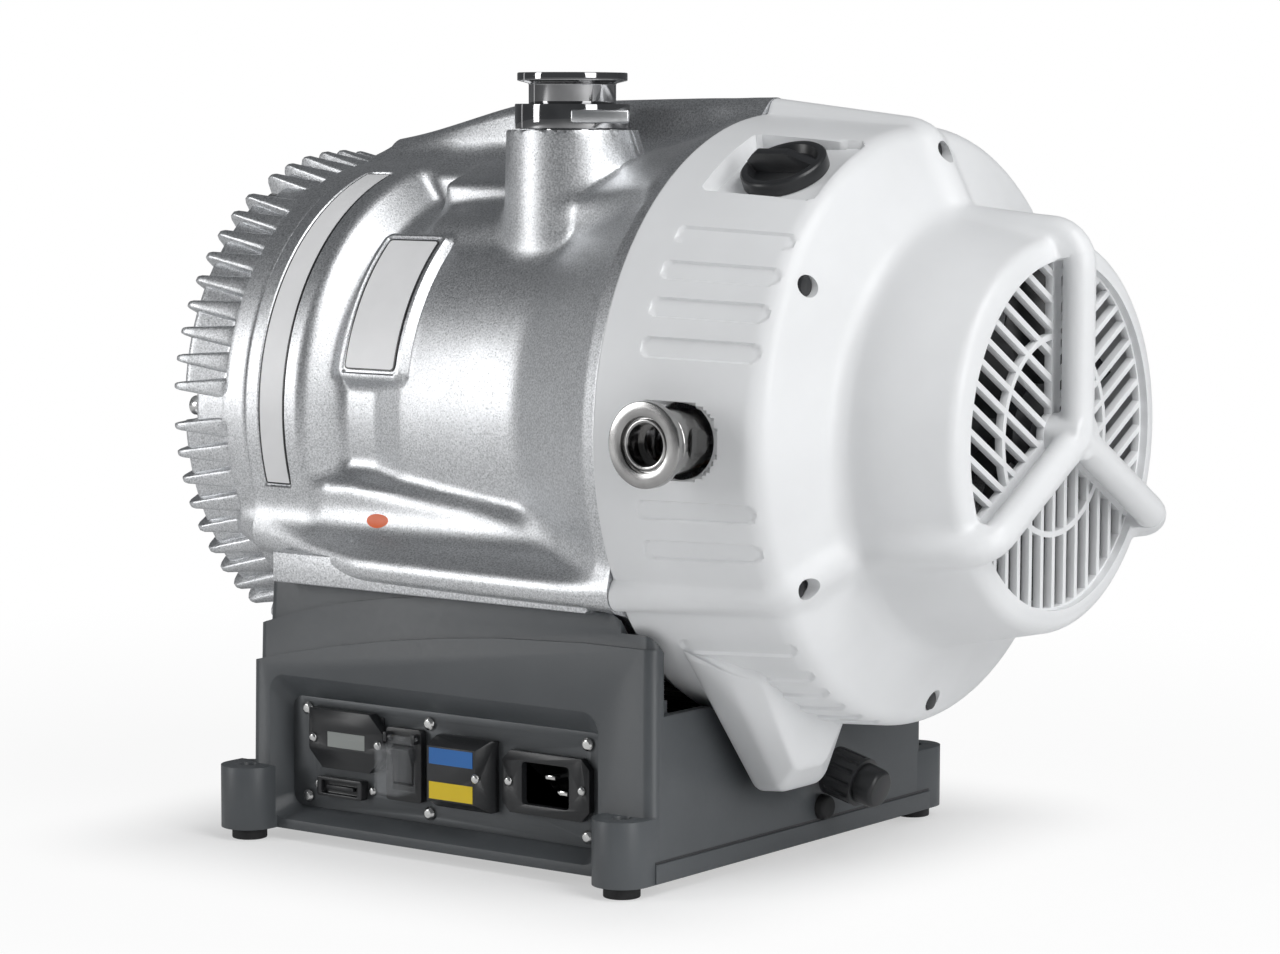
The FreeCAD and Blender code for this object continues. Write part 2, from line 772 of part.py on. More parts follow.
# Crank shaft, bearings and weights
def make_drive_shaft():
    """Stepped shaft with its cheek and the crank pin that carries the orbiting scroll."""
    cheek_end = cheek_x + cheek_thickness
    front_end = front_bearing_x + front_bearing_width
    spindle = turned([
        (cheek_end - 1, 0, 0), (cheek_end - 1, front_journal_radius + 2, 0),
        (front_bearing_x, front_journal_radius + 2, 0),
        (front_bearing_x, front_journal_radius, 0), (front_end, front_journal_radius, 0),
        (front_end, shaft_middle_radius, 0), (rear_bearing_x, shaft_middle_radius, 0),
        (rear_bearing_x, rear_journal_radius, 0), (end_bearing_x, rear_journal_radius, 0),
        (end_bearing_x, end_journal_radius, 0), (end_bearing_x + end_bearing_width, end_journal_radius, 0),
        (end_bearing_x + end_bearing_width, fan_journal_radius, 0), (fan_end_x, fan_journal_radius, 1.0),
        (fan_end_x, 0, 0),
    ])
    cheek = disc(cheek_x, cheek_end, cheek_radius)
    pin = disc(pin_start_x, cheek_x + 1, pin_radius, pin_height)
    return together([spindle, cheek, pin])


def make_counterweight():
    """Half disc clamped on the cheek, opposite the crank pin."""
    end = cheek_x + weight_thickness
    body = ring(cheek_x, end, weight_radius, cheek_radius)
    web = ring(cheek_x + cheek_thickness, end, weight_radius, front_journal_radius + 2)
    upper = box(cheek_x - 1, end + 1, -weight_radius - 1, weight_radius + 1, shaft_height - 2,
                shaft_height + weight_radius + 1)
    return together([body, web]).cut(upper)


def make_orbit_bearing():
    """Bearing between the crank pin and the orbiting hub."""
    outer = pin_radius + orbit_bearing_section
    return bearing(pin_start_x + 1, orbit_bearing_width, outer, pin_radius + running_fit, pin_height)


def make_front_bearing():
    """Front main bearing in the housing's tube."""
    return bearing(front_bearing_x, front_bearing_width, front_bearing_radius,
                   front_journal_radius + running_fit)


def make_rear_bearing():
    """Rear main bearing in the housing's end wall."""
    return bearing(rear_bearing_x, rear_bearing_width, rear_bearing_radius, rear_journal_radius + running_fit)


def make_end_bearing():
    """Bearing in the motor's end shield."""
    return bearing(end_bearing_x, end_bearing_width, end_bearing_radius, end_journal_radius + running_fit)


# Pump housing
def bar_section(x, height, low):
    """Return the cross-section of a cast bar at turn 0: a round top on a foot that spreads out."""
    def spot(t, r):
        return V(x, -r, shaft_height + t)
    foot = bar_foot_half_width
    neck = height - bar_radius - 3
    flank = bar_radius + (foot - bar_radius) * 0.22
    flank_r = low + (neck - low) * 0.42
    crown = height - bar_radius
    edges = [
        Part.LineSegment(spot(foot, low), spot(-foot, low)).toShape(),
        Part.Arc(spot(-foot, low), spot(-flank, flank_r), spot(-bar_radius, neck)).toShape(),
        Part.LineSegment(spot(-bar_radius, neck), spot(-bar_radius, crown)).toShape(),
        Part.Arc(spot(-bar_radius, crown), spot(0, height), spot(bar_radius, crown)).toShape(),
        Part.LineSegment(spot(bar_radius, crown), spot(bar_radius, neck)).toShape(),
        Part.Arc(spot(bar_radius, neck), spot(flank, flank_r), spot(foot, low)).toShape(),
    ]
    return Part.Wire(edges)


def smooth_heights():
    """Return the bar's heights with points between them on smooth curves."""
    slopes = []
    last = len(bar_heights) - 1
    for i in range(last + 1):
        before = bar_heights[max(i - 1, 0)]
        after = bar_heights[min(i + 1, last)]
        slopes.append((after[1] - before[1]) / (after[0] - before[0]))
    slopes[last] = 0.0
    points = []
    for i in range(last):
        x0, h0 = bar_heights[i]
        x1, h1 = bar_heights[i + 1]
        step = x1 - x0
        for j in range(bar_smoothing):
            s = j / bar_smoothing
            points.append((x0 + s * step,
                           h0 * (1 + 2 * s) * (1 - s) ** 2 + slopes[i] * step * s * (1 - s) ** 2
                           + h1 * s * s * (3 - 2 * s) + slopes[i + 1] * step * s * s * (s - 1)))
    points.append(bar_heights[last])
    return points


def cast_bar():
    """Cast part of a tubular bar at turn 0, from the cover joint to the cowl."""
    low = chamber_radius + 2
    stations = [(cover_joint_x + along_x, height) for along_x, height in smooth_heights()]
    stations.append((cowl_rear_x - free_gap, bar_end_height))
    sections = [bar_section(x, height, low) for x, height in stations]
    return Part.makeLoft(sections, True, True)


def cast_ledge():
    """Raised ledge at turn 0 under a cast bar, wide at the flange and narrow at the flare."""
    low = chamber_radius + 3

    def spot(x, t, r):
        return V(x, -r, shaft_height + t)
    sections = []
    for along_x, half, edge, crown in ledge_sections:
        x = cover_joint_x + along_x
        corners = [(-half - 2, low, 0), (-half, edge, ledge_round), (0, crown, 0), (half, edge, ledge_round),
                   (half + 2, low, 0)]
        sections.append(rounded_wire(corners, lambda t, r, x=x: spot(x, t, r)))
    return Part.makeLoft(sections, True, True)


def raised_sector(profile, turns):
    """Return a piece of a turned form between two turns; its profile starts at the cover joint."""
    corners = [(cover_joint_x + along_x, radius, 0) for along_x, radius in profile]
    face = Part.Face(rounded_wire(corners, lambda x, r: V(x, -r, shaft_height)))
    piece = face.revolve(V(0, 0, shaft_height), V(1, 0, 0), -(turns[1] - turns[0]))
    return around(piece, turns[0])


def make_pump_housing():
    """Cast housing: flange, waisted body, flare, three bars, inlet boss, plate pad and support rails."""
    spigot_end = housing_end_x + spigot_length
    cowl_lean = (cowl_rim_radius - cowl_drum_end_radius) / (cowl_drum_length - 2 * cowl_wall)
    spigot_radius = cowl_rim_radius - cowl_wall - spigot_length * cowl_lean - seat_gap
    outer = turned([
        (cover_joint_x, 0, 0), (cover_joint_x, flange_radius, 0), (flange_end_x, flange_radius, flange_round),
        (flange_end_x + waist_from, waist_radius, flange_round), (flange_end_x + waist_to, waist_radius, 12),
        (flange_end_x + barrel_from, body_radius, 12), (cover_joint_x + flare_from + 40, body_radius, 30),
        (housing_end_x - 3, flare_radius, 2), (cowl_rear_x - free_gap, flare_radius, 0),
        (cowl_rear_x - free_gap, spigot_radius, 0), (spigot_end, spigot_radius, 0), (spigot_end, 0, 0),
    ])
    bar = cast_bar()
    pieces = [outer] + [around(bar, turn) for turn in bar_turns]
    pieces += [around(cast_ledge(), turn) for turn in bar_turns]
    pieces.append(raised_sector(shoulder_profile, shoulder_turns))
    pieces.append(raised_sector(top_ledge_profile, top_ledge_turns))
    boss_low = shaft_height + body_radius / 2
    boss_length = inlet_boss_top - boss_low
    boss_foot = inlet_boss_radius + boss_length * inlet_boss_draft
    pieces.append(Part.makeCone(boss_foot, inlet_boss_radius, boss_length, V(inlet_x, inlet_y, boss_low)))
    pad_x = flange_end_x + plate_pad_start - flange_length
    pieces.append(sector(pad_x, pad_x + plate_pad_length, body_radius + plate_pad_height, body_radius - 4,
                         plate_pad_from, plate_pad_to))
    for y0 in (rail_front_y, base_back_y - 8.0):
        rail = box(cover_joint_x + rail_inset, housing_end_x - 16, y0, y0 + rail_width + 6,
                   base_top + seat_gap,
                   base_top + 16)
        pieces.append(rail)
    casting = together(pieces)
    chamber_end = housing_end_x - end_wall_thickness
    mouth_end = cover_joint_x + cover_spigot_length + 1
    flange_back = bearing_tube_x + bellows_flange_thickness
    chamber = turned([
        (cover_joint_x - 1, 0, 0), (cover_joint_x - 1, mouth_radius, 0), (mouth_end, mouth_radius, 0),
        (mouth_end, chamber_radius, 0), (chamber_end, chamber_radius, 10),
        (chamber_end, bearing_tube_radius, 6),
        (flange_back, bearing_tube_radius, 0), (flange_back, bellows_flange_radius, 0),
        (bearing_tube_x, bellows_flange_radius, 0), (bearing_tube_x, 0, 0),
    ])
    front_end = front_bearing_x + front_bearing_width
    bore = turned([
        (bearing_tube_x - 1, 0, 0), (bearing_tube_x - 1, weight_radius + 1, 0),
        (front_bearing_x, weight_radius + 1, 0),
        (front_bearing_x, front_bearing_radius, 0), (front_end, front_bearing_radius, 0),
        (front_end, shaft_middle_radius + 6, 0), (rear_bearing_x, shaft_middle_radius + 6, 0),
        (rear_bearing_x, rear_bearing_radius, 0), (housing_end_x + 1, rear_bearing_radius, 0),
        (housing_end_x + 1, 0, 0),
    ])
    recess_r = spigot_radius - spigot_wall
    strip_x = cover_joint_x + 9
    cuts = [
        chamber, bore, disc(housing_end_x, spigot_end + 1, recess_r),
        Part.makeCylinder(inlet_bore_radius, 200,
                          V(inlet_x, inlet_y, shaft_height + bearing_tube_radius + 20)),
        along(cover_joint_x - 1, housing_end_x + 1, passage_radius, passage_circle, passage_turn),
        sector(strip_x, strip_x + strip_recess_length, flange_radius + 1, flange_radius - strip_recess_depth,
               strip_recess_from, strip_recess_to),
        pocket_cut(pad_x),
    ]
    for i in range(cover_bolt_count):
        turn = i * 360.0 / cover_bolt_count
        cuts.append(along(cover_joint_x - 1, cover_joint_x + cover_bolt_bite + 2, cover_bolt_radius,
                          cover_bolt_circle, turn))
    for turn in air_slot_turns:
        cuts.append(sector(housing_end_x - 60, spigot_end + 1, air_slot_outer, air_slot_inner,
                           turn - air_slot_span / 2, turn + air_slot_span / 2))
    return casting.cut(cuts)


def sector(x0, x1, outer, inner, turn_from, turn_to):
    """Return a piece of a tube about the shaft line between two turns."""
    corners = [(x0, inner, 0), (x0, outer, 0), (x1, outer, 0), (x1, inner, 0)]
    face = Part.Face(rounded_wire(corners, lambda x, r: V(x, -r, shaft_height)))
    piece = face.revolve(V(0, 0, shaft_height), V(1, 0, 0), -(turn_to - turn_from))
    return around(piece, turn_from)


def pocket_cut(pad_x):
    """Return the shallow pocket in the plate pad."""
    rim = plate_pocket_rim
    top = body_radius + plate_pad_height
    lean = math.degrees(rim / top)
    return sector(pad_x + rim, pad_x + plate_pad_length - rim, top + 1, top - 1, plate_pad_from + lean,
                  plate_pad_to - lean)


# Inlet
def make_inlet_nozzle():
    """Vacuum flange and neck of the inlet, with the recess for a centring ring."""
    origin = V(inlet_x, inlet_y, 0)
    low = inlet_boss_top - 6
    neck_top = inlet_top - inlet_flange_thickness
    return turned_about([
        (low, inlet_bore_radius - strainer_wall - seat_gap, 0), (low, inlet_bore_radius - seat_gap, 0),
        (inlet_boss_top, inlet_bore_radius - seat_gap, 0), (inlet_boss_top, inlet_neck_radius, 0),
        (neck_top - 2.5, inlet_neck_radius, 0), (neck_top, inlet_flange_radius, 0),
        (inlet_top, inlet_flange_radius, 0),
        (inlet_top, inlet_recess_radius, 0), (inlet_top - inlet_recess_depth, inlet_recess_radius, 0),
        (inlet_top - inlet_recess_depth, inlet_bore_radius - strainer_wall - seat_gap, 0),
    ], origin, V(0, 0, 1), V(1, 0, 0))


def make_inlet_collar():
    """Collar round the inlet neck that clamps it on the boss, with a flat block on one side."""
    low = inlet_boss_top
    high = inlet_boss_top + inlet_collar_height
    centre = V(inlet_x, inlet_y, low)
    body = Part.makeCylinder(inlet_collar_radius, inlet_collar_height, centre)
    block = box(inlet_x, inlet_x + inlet_collar_radius, inlet_y - inlet_clamp_reach,
                inlet_y - inlet_clamp_reach + inlet_clamp_width, high - 3 - inlet_clamp_height, high - 3)
    block.rotate(centre, V(0, 0, 1), inlet_clamp_turn)
    hole = Part.makeCylinder(inlet_neck_radius + seat_gap, inlet_collar_height + 2, centre - V(0, 0, 1))
    return together([body, block]).cut(hole)


def make_inlet_strainer():
    """Cup strainer under the inlet nozzle."""
    origin = V(inlet_x, inlet_y, 0)
    top = inlet_boss_top - 6 - seat_gap
    low = top - strainer_depth
    r = inlet_bore_radius - seat_gap
    return turned_about([
        (low, 0, 0), (low, r - 4, 0), (top - 1.5, r - 1.5, 0), (top - 1.5, r, 0), (top, r, 0),
        (top, r - 2.5, 0),
        (low + strainer_wall, r - 5, 0), (low + strainer_wall, 0, 0),
    ], origin, V(0, 0, 1), V(1, 0, 0))


# Exhaust
def pipe_path():
    """Return the wire of the exhaust pipe's centre line, its runs joined by arcs."""
    start = at_turn(housing_end_x, passage_circle, passage_turn)
    points = [
        start, V(exhaust_x, start.y, start.z), V(exhaust_x, start.y, exhaust_height),
        V(exhaust_x, exhaust_start_y, exhaust_height),
    ]
    edges = []
    here = points[0]
    for i in (1, 2):
        before = (points[i - 1] - points[i]).normalize()
        after = (points[i + 1] - points[i]).normalize()
        entry = points[i] + before * exhaust_bend_radius
        leave = points[i] + after * exhaust_bend_radius
        bisector = (before + after).normalize()
        middle = points[i] + bisector * (exhaust_bend_radius * (math.sqrt(2) - 1))
        edges.append(Part.LineSegment(here, entry).toShape())
        edges.append(Part.Arc(entry, middle, leave).toShape())
        here = leave
    edges.append(Part.LineSegment(here, points[3]).toShape())
    return Part.Wire(edges)


def swept(radius):
    """Return a round bar along the exhaust pipe's path."""
    path = pipe_path()
    circle = Part.Wire(Part.makeCircle(radius, at_turn(housing_end_x, passage_circle, passage_turn),
                                       V(1, 0, 0)))
    return path.makePipeShell([circle], True, True)


def make_exhaust_pipe():
    """Pipe from the housing's passage to the exhaust nozzle, with its mounting pad and valve seat."""
    pad = along(housing_end_x, housing_end_x + exhaust_pad_thickness, exhaust_pad_radius, passage_circle,
                passage_turn)
    end = V(exhaust_x, exhaust_start_y + 4, exhaust_height)
    seat = Part.makeCylinder(exhaust_bore_radius - seat_gap, 4, end, V(0, -1, 0))
    return together([swept(passage_radius + exhaust_pipe_wall), pad, seat]).cut(swept(passage_radius))


def make_exhaust_nozzle():
    """Vacuum flange of the exhaust with its neck, spanner flats and an inner shoulder for the spring."""
    origin = V(exhaust_x, 0, exhaust_height)
    face = -exhaust_face_y
    start = -exhaust_start_y - 4
    inner = exhaust_bore_radius
    shoulder = face - 12
    body = turned_about([
        (start, inner, 0), (start, exhaust_neck_radius, 0), (face - 20, exhaust_neck_radius, 0),
        (face - 20, exhaust_neck_radius - 1.5, 0),
        (face - exhaust_flange_thickness - 3, exhaust_neck_radius - 1.5, 0),
        (face - exhaust_flange_thickness, exhaust_flange_radius, 0), (face, exhaust_flange_radius, 0),
        (face, exhaust_recess_radius, 0), (face - exhaust_recess_depth, exhaust_recess_radius, 0),
        (face - exhaust_recess_depth, inner, 0), (shoulder, inner, 0), (shoulder, inner - valve_stop_wall, 0),
        (shoulder - 2, inner - valve_stop_wall, 0), (shoulder - 2, inner, 0),
    ], origin, V(0, -1, 0), V(0, 0, 1))
    corners = []
    for i in range(6):
        angle = math.radians(60 * i)
        reach = exhaust_hex_flat / math.cos(math.radians(30))
        corners.append((exhaust_x + reach * math.cos(angle), exhaust_height + reach * math.sin(angle), 0))
    nut = prism_y(corners, -(face - 20), -(face - 32))
    hole = Part.makeCylinder(inner + 1, 40, V(exhaust_x, -(face - 40), exhaust_height), V(0, -1, 0))
    return together([body, nut.cut(hole)])


def valve_seat_y():
    """Return the front face of the exhaust valve's seat."""
    return exhaust_start_y


def make_exhaust_valve_disc():
    """Disc of the exhaust valve, which lifts off the pipe's end."""
    start = V(exhaust_x, valve_seat_y() - free_gap, exhaust_height)
    return Part.makeCylinder(valve_disc_radius, valve_disc_thickness, start, V(0, -1, 0))


def make_exhaust_valve_spring():
    """Square-wire spring between the valve disc and the nozzle's shoulder."""
    y0 = valve_seat_y() - free_gap - valve_disc_thickness - seat_gap
    y1 = exhaust_face_y + 14 + seat_gap
    wire = valve_spring_wire
    radius = valve_disc_radius - wire
    steps = valve_spring_turns * 8
    sections = []
    for i in range(steps + 1):
        share = i / steps
        angle = 2 * math.pi * valve_spring_turns * share
        y = y0 - wire / 2 + (y1 + wire / 2 - (y0 - wire / 2)) * share
        out = V(math.cos(angle), 0, math.sin(angle))
        centre = V(exhaust_x, y, exhaust_height) + out * radius
        ring_points = [centre + out * a + V(0, b, 0) for a, b in
                       ((-wire / 2, -wire / 2), (wire / 2, -wire / 2), (wire / 2, wire / 2),
                        (-wire / 2, wire / 2))]
        sections.append(Part.makePolygon(ring_points + [ring_points[0]]))
    return Part.makeLoft(sections, True, True)


# Fan cowl
def cowl_outer():
    """Return the outer profile of the cowl as (x, radius, fillet) corners, rear rim first."""
    nose_x = cowl_front_x - 1
    return [
        (cowl_rear_x, cowl_rim_radius, 0), (cowl_shoulder_x, cowl_drum_end_radius, cowl_drum_end_fillet),
        (cowl_shoulder_x + cowl_shoulder_depth + 5, cowl_shoulder_inner_radius, 14),
        (nose_x - 1, cowl_nose_radius, 7), (cowl_front_x, grille_opening_radius + 2, 0),
        (cowl_front_x, grille_opening_radius, 0),
    ]


def shifted(corners, back, down):
    """Return a profile moved back and down, for the inside of a wall."""
    return [(x - back, r - down, fillet) for x, r, fillet in corners]


def bar_path():
    """Return the corners of a cowl bar's centre line in its radial plane, from the rim to the hub."""
    start = bar_end_height - bar_radius
    front = cowl_front_x + bar_stand_out
    return [
        (cowl_rear_x, start, 0), (cowl_shoulder_x - 4, start - 9.5, 14),
        (cowl_shoulder_x + cowl_shoulder_depth + 4, cowl_shoulder_inner_radius - 5.5, 14),
        (front, cowl_nose_radius + 1, 16), (front, 0, 0),
    ]


def moulded_bar():
    """Round bar of the cowl at turn 0, with its web down to the drum."""
    corners = bar_path()

    def spot(x, r):
        return V(x, -r, shaft_height)
    loop = corners + [(cowl_rear_x, 0, 0)]
    edges = rounded_wire(loop, spot).Edges
    ends = (spot(cowl_rear_x, 0), )
    edges = [e for e in edges if all(v.Point.distanceToPoint(ends[0]) > 1e-6 for v in e.Vertexes)]
    path = Part.Wire(Part.__sortEdges__(edges))
    circle = Part.Wire(Part.makeCircle(bar_radius, spot(cowl_rear_x, corners[0][1]), V(1, 0, 0)))
    return path.makePipeShell([circle], True, True)


def make_fan_cowl():
    """Moulded cowl: drum, shoulder, nose, three bars, lobe, grooves, knob panel and exhaust dish."""
    outline = cowl_outer()
    inner_front_x = cowl_front_x - grille_thickness
    outer = around(turned(outline + [(cowl_front_x, 0, 0), (cowl_rear_x, 0, 0)]), 17)
    hollow = around(turned([(cowl_rear_x - 1, 0, 0), (cowl_rear_x - 1, cowl_rim_radius - cowl_wall, 0)]
                           + shifted(outline[1:4], cowl_wall, cowl_wall)
                           + [(inner_front_x, grille_opening_radius + grille_rim_width + 1, 0),
                              (inner_front_x, 0, 0)]), 33)
    mouth = disc(inner_front_x - 1, cowl_front_x, grille_opening_radius)
    bar = moulded_bar()
    bars = [around(bar, turn) for turn in bar_turns]
    half_x = knob_panel_half_length
    half_w = knob_panel_half_width
    floor_y = -knob_panel_height
    panel = box(knob_x - half_x, knob_x + half_x, floor_y - 40, floor_y, shaft_height - half_w,
                shaft_height + half_w)
    tray = box(knob_x - half_x - cowl_wall, knob_x + half_x + cowl_wall, floor_y - 3, floor_y + cowl_wall,
               shaft_height - half_w - cowl_wall, shaft_height + half_w + cowl_wall)
    dish_floor = -(cowl_drum_end_radius + 2 - exhaust_dish_depth)
    dish_half = exhaust_dish_height / 2 + exhaust_dish_backing
    dish_back = box(exhaust_x - exhaust_dish_width / 2 - exhaust_dish_run - exhaust_dish_backing,
                    exhaust_x + exhaust_dish_width / 2, dish_floor - 1,
                    dish_floor + cowl_wall, exhaust_height - dish_half, exhaust_height + dish_half)
    skin, lobe_hollow = lobe_solids()
    body = outer.fuse(bars + [skin])
    body = body.cut(hollow).cut(mouth).cut(lobe_hollow)
    hub = disc(inner_front_x, cowl_front_x + bar_stand_out + bar_radius, bar_radius + 3)
    trays = [around(tray, knob_turn).common(outer), dish_back.common(outer)]
    body = body.fuse([hub] + trays).removeSplitter()
    cuts = [
        around(panel, knob_turn),
        radial_cylinder(knob_x, knob_panel_height - 20, 30, spindle_radius + 3, knob_turn),
        exhaust_dish(dish_floor),
        Part.makeCylinder(exhaust_hex_flat + exhaust_hole_gap + 2, 80, V(exhaust_x, -80, exhaust_height),
                          V(0, -1, 0)),
        connector_piece(-20, 20 + socket_length, socket_radius + free_gap),
        connector_piece(collar_start - free_gap, collar_length + cap_length, collar_radius + free_gap),
    ]
    cuts += [around(groove_cutter(start), turn) for turn, start in groove_places]
    seat = screw_seat_x()
    for turn in cowl_screw_turns:
        cuts.append(along(seat, cowl_front_x, cowl_screw_head_radius + 0.6, cowl_screw_circle, turn))
        cuts.append(along(seat - 30, seat + 1, cowl_screw_radius + seat_gap, cowl_screw_circle, turn))
    return body.cut(cuts)


def screw_seat_x():
    """Return the station of the face under the cowl's screw heads."""
    return cowl_shoulder_x + 1.0


def exhaust_dish(floor_y):
    """Return the shallow wide recess round the exhaust."""
    half = exhaust_dish_height / 2
    x0 = exhaust_x - exhaust_dish_width / 2 - exhaust_dish_run
    x1 = exhaust_x + exhaust_dish_width / 2
    corners = plate_outline(x0, x1, exhaust_height - half, exhaust_height + half, half - 0.5)
    return prism_y(corners, -cowl_rim_radius - 10, floor_y)


def groove_cutter(start):
    """Return one round-ended groove of the drum's side at turn 0, from a distance past the rim."""
    depth = cowl_drum_end_radius - groove_depth
    corners = plate_outline(cowl_rear_x + start, cowl_shoulder_x + 2, shaft_height - groove_width / 2,
                            shaft_height + groove_width / 2, groove_width / 2 - 0.1)
    lean = math.degrees(math.atan2(cowl_rim_radius - cowl_drum_end_radius, cowl_drum_length))
    cutter = prism_y(corners, -cowl_rim_radius - 10, -depth)
    cutter.rotate(V(cowl_shoulder_x, -depth, shaft_height), V(0, 0, 1), lean)
    return cutter


def lobe_outline(section, wall):
    """Return the wire of one section of the lobe, moved inwards by a wall."""
    distance, corners = section
    x = base_right_x + lobe_gap + distance
    middle = sum(y for y, _, _ in corners) / len(corners)
    moved = [(y + math.copysign(1.4 * wall, middle - y), z + wall, fillet) for y, z, fillet in corners]
    return rounded_wire(moved, lambda y, z: V(x, y, z))


def lobe_solids():
    """Return the lobe under the cowl's front as a tapering hull, and the hollow that is cut from it."""
    wall = lobe_wall
    first, second, third = lobe_sections
    skin = Part.makeLoft([lobe_outline(section, 0) for section in lobe_sections], True, True)
    hollow_sections = [(-1.0, first[1]), second, (third[0] - wall, third[1])]
    inner = Part.makeLoft([lobe_outline(section, wall) for section in hollow_sections], True, True)
    drum = turned([
        (cowl_rear_x - 2, 0, 0), (cowl_rear_x - 2, cowl_rim_radius - cowl_wall / 2, 0),
        (cowl_shoulder_x, cowl_drum_end_radius - cowl_wall / 2, 0), (cowl_shoulder_x, 0, 0),
    ])
    return skin, inner.cut(drum)


def make_grille():
    """Grille insert: a rim, a ring and three fields of slats, each along its sector's middle line."""
    front = cowl_front_x - grille_thickness
    back = front - grille_thickness
    outer = grille_opening_radius + grille_rim_width
    rim = ring(back, front, outer, grille_opening_radius - 1)
    middle = ring(back, front, grille_ring_radius + slat_thickness / 2,
                  grille_ring_radius - slat_thickness / 2)
    hub = disc(back, front, bar_radius + 3)
    pieces = [rim, middle, hub]
    rows = int(grille_opening_radius / slat_pitch)
    for sector_turn in (-90.0, 30.0, 150.0):
        for i in range(-rows, rows + 1):
            offset = i * slat_pitch
            chord = math.sqrt(grille_opening_radius ** 2 - offset ** 2)
            start = abs(offset) / math.tan(math.radians(60)) + 3
            if chord - start < 6:
                continue
            slat = box(back, front, -chord - 1, -start, shaft_height + offset - slat_thickness / 2,
                       shaft_height + offset + slat_thickness / 2)
            pieces.append(around(slat, sector_turn))
    spoke = box(back, front, -grille_opening_radius - 1, -bar_radius, shaft_height - bar_radius / 2,
                shaft_height + bar_radius / 2)
    pieces += [around(spoke, turn) for turn in bar_turns]
    return together(pieces)


def make_cowl_posts():
    """Posts on the housing's end that the cowl is screwed to."""
    posts = []
    for turn in cowl_screw_turns:
        post = along(housing_end_x, screw_seat_x() - cowl_wall - 4, post_radius, cowl_screw_circle, turn)
        hole = along(screw_seat_x() - cowl_screw_hole_depth, screw_seat_x(), cowl_screw_radius,
                     cowl_screw_circle, turn)
        posts.append(post.cut(hole))
    return Part.makeCompound(posts)


def make_cowl_screws():
    """Screws in the cowl's shoulder."""
    screws = []
    for turn in cowl_screw_turns:
        seat = screw_seat_x()
        head = along(seat, seat + cowl_screw_head_height, cowl_screw_head_radius, cowl_screw_circle, turn)
        shank = along(seat - cowl_screw_length, seat + 1, cowl_screw_radius, cowl_screw_circle, turn)
        screws.append(together([head, shank]))
    return Part.makeCompound(screws)


# Gas ballast control
def make_knob():
    """Round dish with a raised rim, a wing handle across it and the spindle below."""
    base = -knob_panel_height - free_gap
    spot = V(knob_x, base, shaft_height)
    dish = turned_about([
        (0, 0, 0), (0, knob_radius, 0), (knob_rim_height - 1, knob_radius, 0),
        (knob_rim_height, knob_radius - 1, 0),
        (knob_rim_height, knob_radius - 4, 0),
        (knob_rim_height - knob_dish_depth, knob_radius - 6, 0), (knob_rim_height - knob_dish_depth, 0, 0),
    ], spot, V(0, -1, 0), V(0, 0, 1))
    half = knob_handle_thickness / 2
    reach = knob_radius - 3
    low = knob_rim_height - knob_dish_depth - 1
    corners = [
        (-reach, base - low, 0), (-reach, base - knob_rim_height - 2, 0),
        (-reach * 0.75, base - knob_handle_height, 3),
        (reach * 0.25, base - knob_handle_height, 4), (reach, base - knob_rim_height, 0),
        (reach, base - low, 0),
    ]
    handle = Part.Face(rounded_wire(corners, lambda x, y: V(knob_x + x, y, shaft_height - half)))
    handle = handle.extrude(V(0, 0, knob_handle_thickness))
    spindle = Part.makeCylinder(spindle_radius, spindle_length + 1, spot - V(0, 1, 0), V(0, 1, 0))
    return around(together([dish, handle, spindle]), knob_turn)


def make_ballast_valve():
    """Body of the gas ballast valve under the knob, on a pipe from the housing's end wall."""
    top = knob_panel_height - cowl_wall - free_gap
    body = radial_cylinder(knob_x, top - ballast_body_length, ballast_body_length, ballast_body_radius,
                           knob_turn)
    circle = top - ballast_body_length * 0.6
    pipe = along(housing_end_x, knob_x, ballast_pipe_radius, circle, knob_turn)
    foot = along(housing_end_x, housing_end_x + 4, ballast_pipe_radius + 5, circle, knob_turn)
    bore = radial_cylinder(knob_x, top - spindle_length - 2, spindle_length + 4, spindle_radius + running_fit,
                           knob_turn)
    return together([body, pipe, foot]).cut(bore)


# Motor and fan
def make_motor_frame():
    """Motor frame with ribs along it, on the housing's end wall."""
    shell = ring(housing_end_x, motor_end_x, motor_frame_radius, motor_frame_radius - motor_frame_wall)
    ribs = []
    for i in range(motor_rib_count):
        rib = box(housing_end_x + 8, motor_end_x - 4, -motor_frame_radius - motor_rib_height,
                  -motor_frame_radius + 2, shaft_height - motor_rib_width / 2,
                  shaft_height + motor_rib_width / 2)
        ribs.append(around(rib, (i + 0.5) * 360.0 / motor_rib_count))
    return together([shell] + ribs)


def make_stator():
    """Stator core with its winding heads."""
    middle = (housing_end_x + motor_end_x) / 2
    half = rotor_length / 2
    outer = motor_frame_radius - motor_frame_wall
    inner = rotor_radius + air_gap
    core = ring(middle - half, middle + half, outer, inner)
    heads = ring(middle - half - winding_overhang, middle + half + winding_overhang,
                 inner + 3 + winding_depth, inner + 3)
    return together([core, heads.cut(disc(middle - half, middle + half, outer))])


def make_rotor():
    """Rotor core on the shaft."""
    middle = (housing_end_x + motor_end_x) / 2
    return ring(middle - rotor_length / 2, middle + rotor_length / 2, rotor_radius, rear_journal_radius)


def make_end_shield():
    """End shield of the motor, which holds the end bearing."""
    return turned([
        (motor_end_x, end_bearing_radius, 0), (motor_end_x, motor_frame_radius, 0),
        (motor_end_x + 5, motor_frame_radius, 0), (shield_end_x, end_bearing_radius + 10, 0),
        (shield_end_x, end_bearing_radius, 0),
    ])


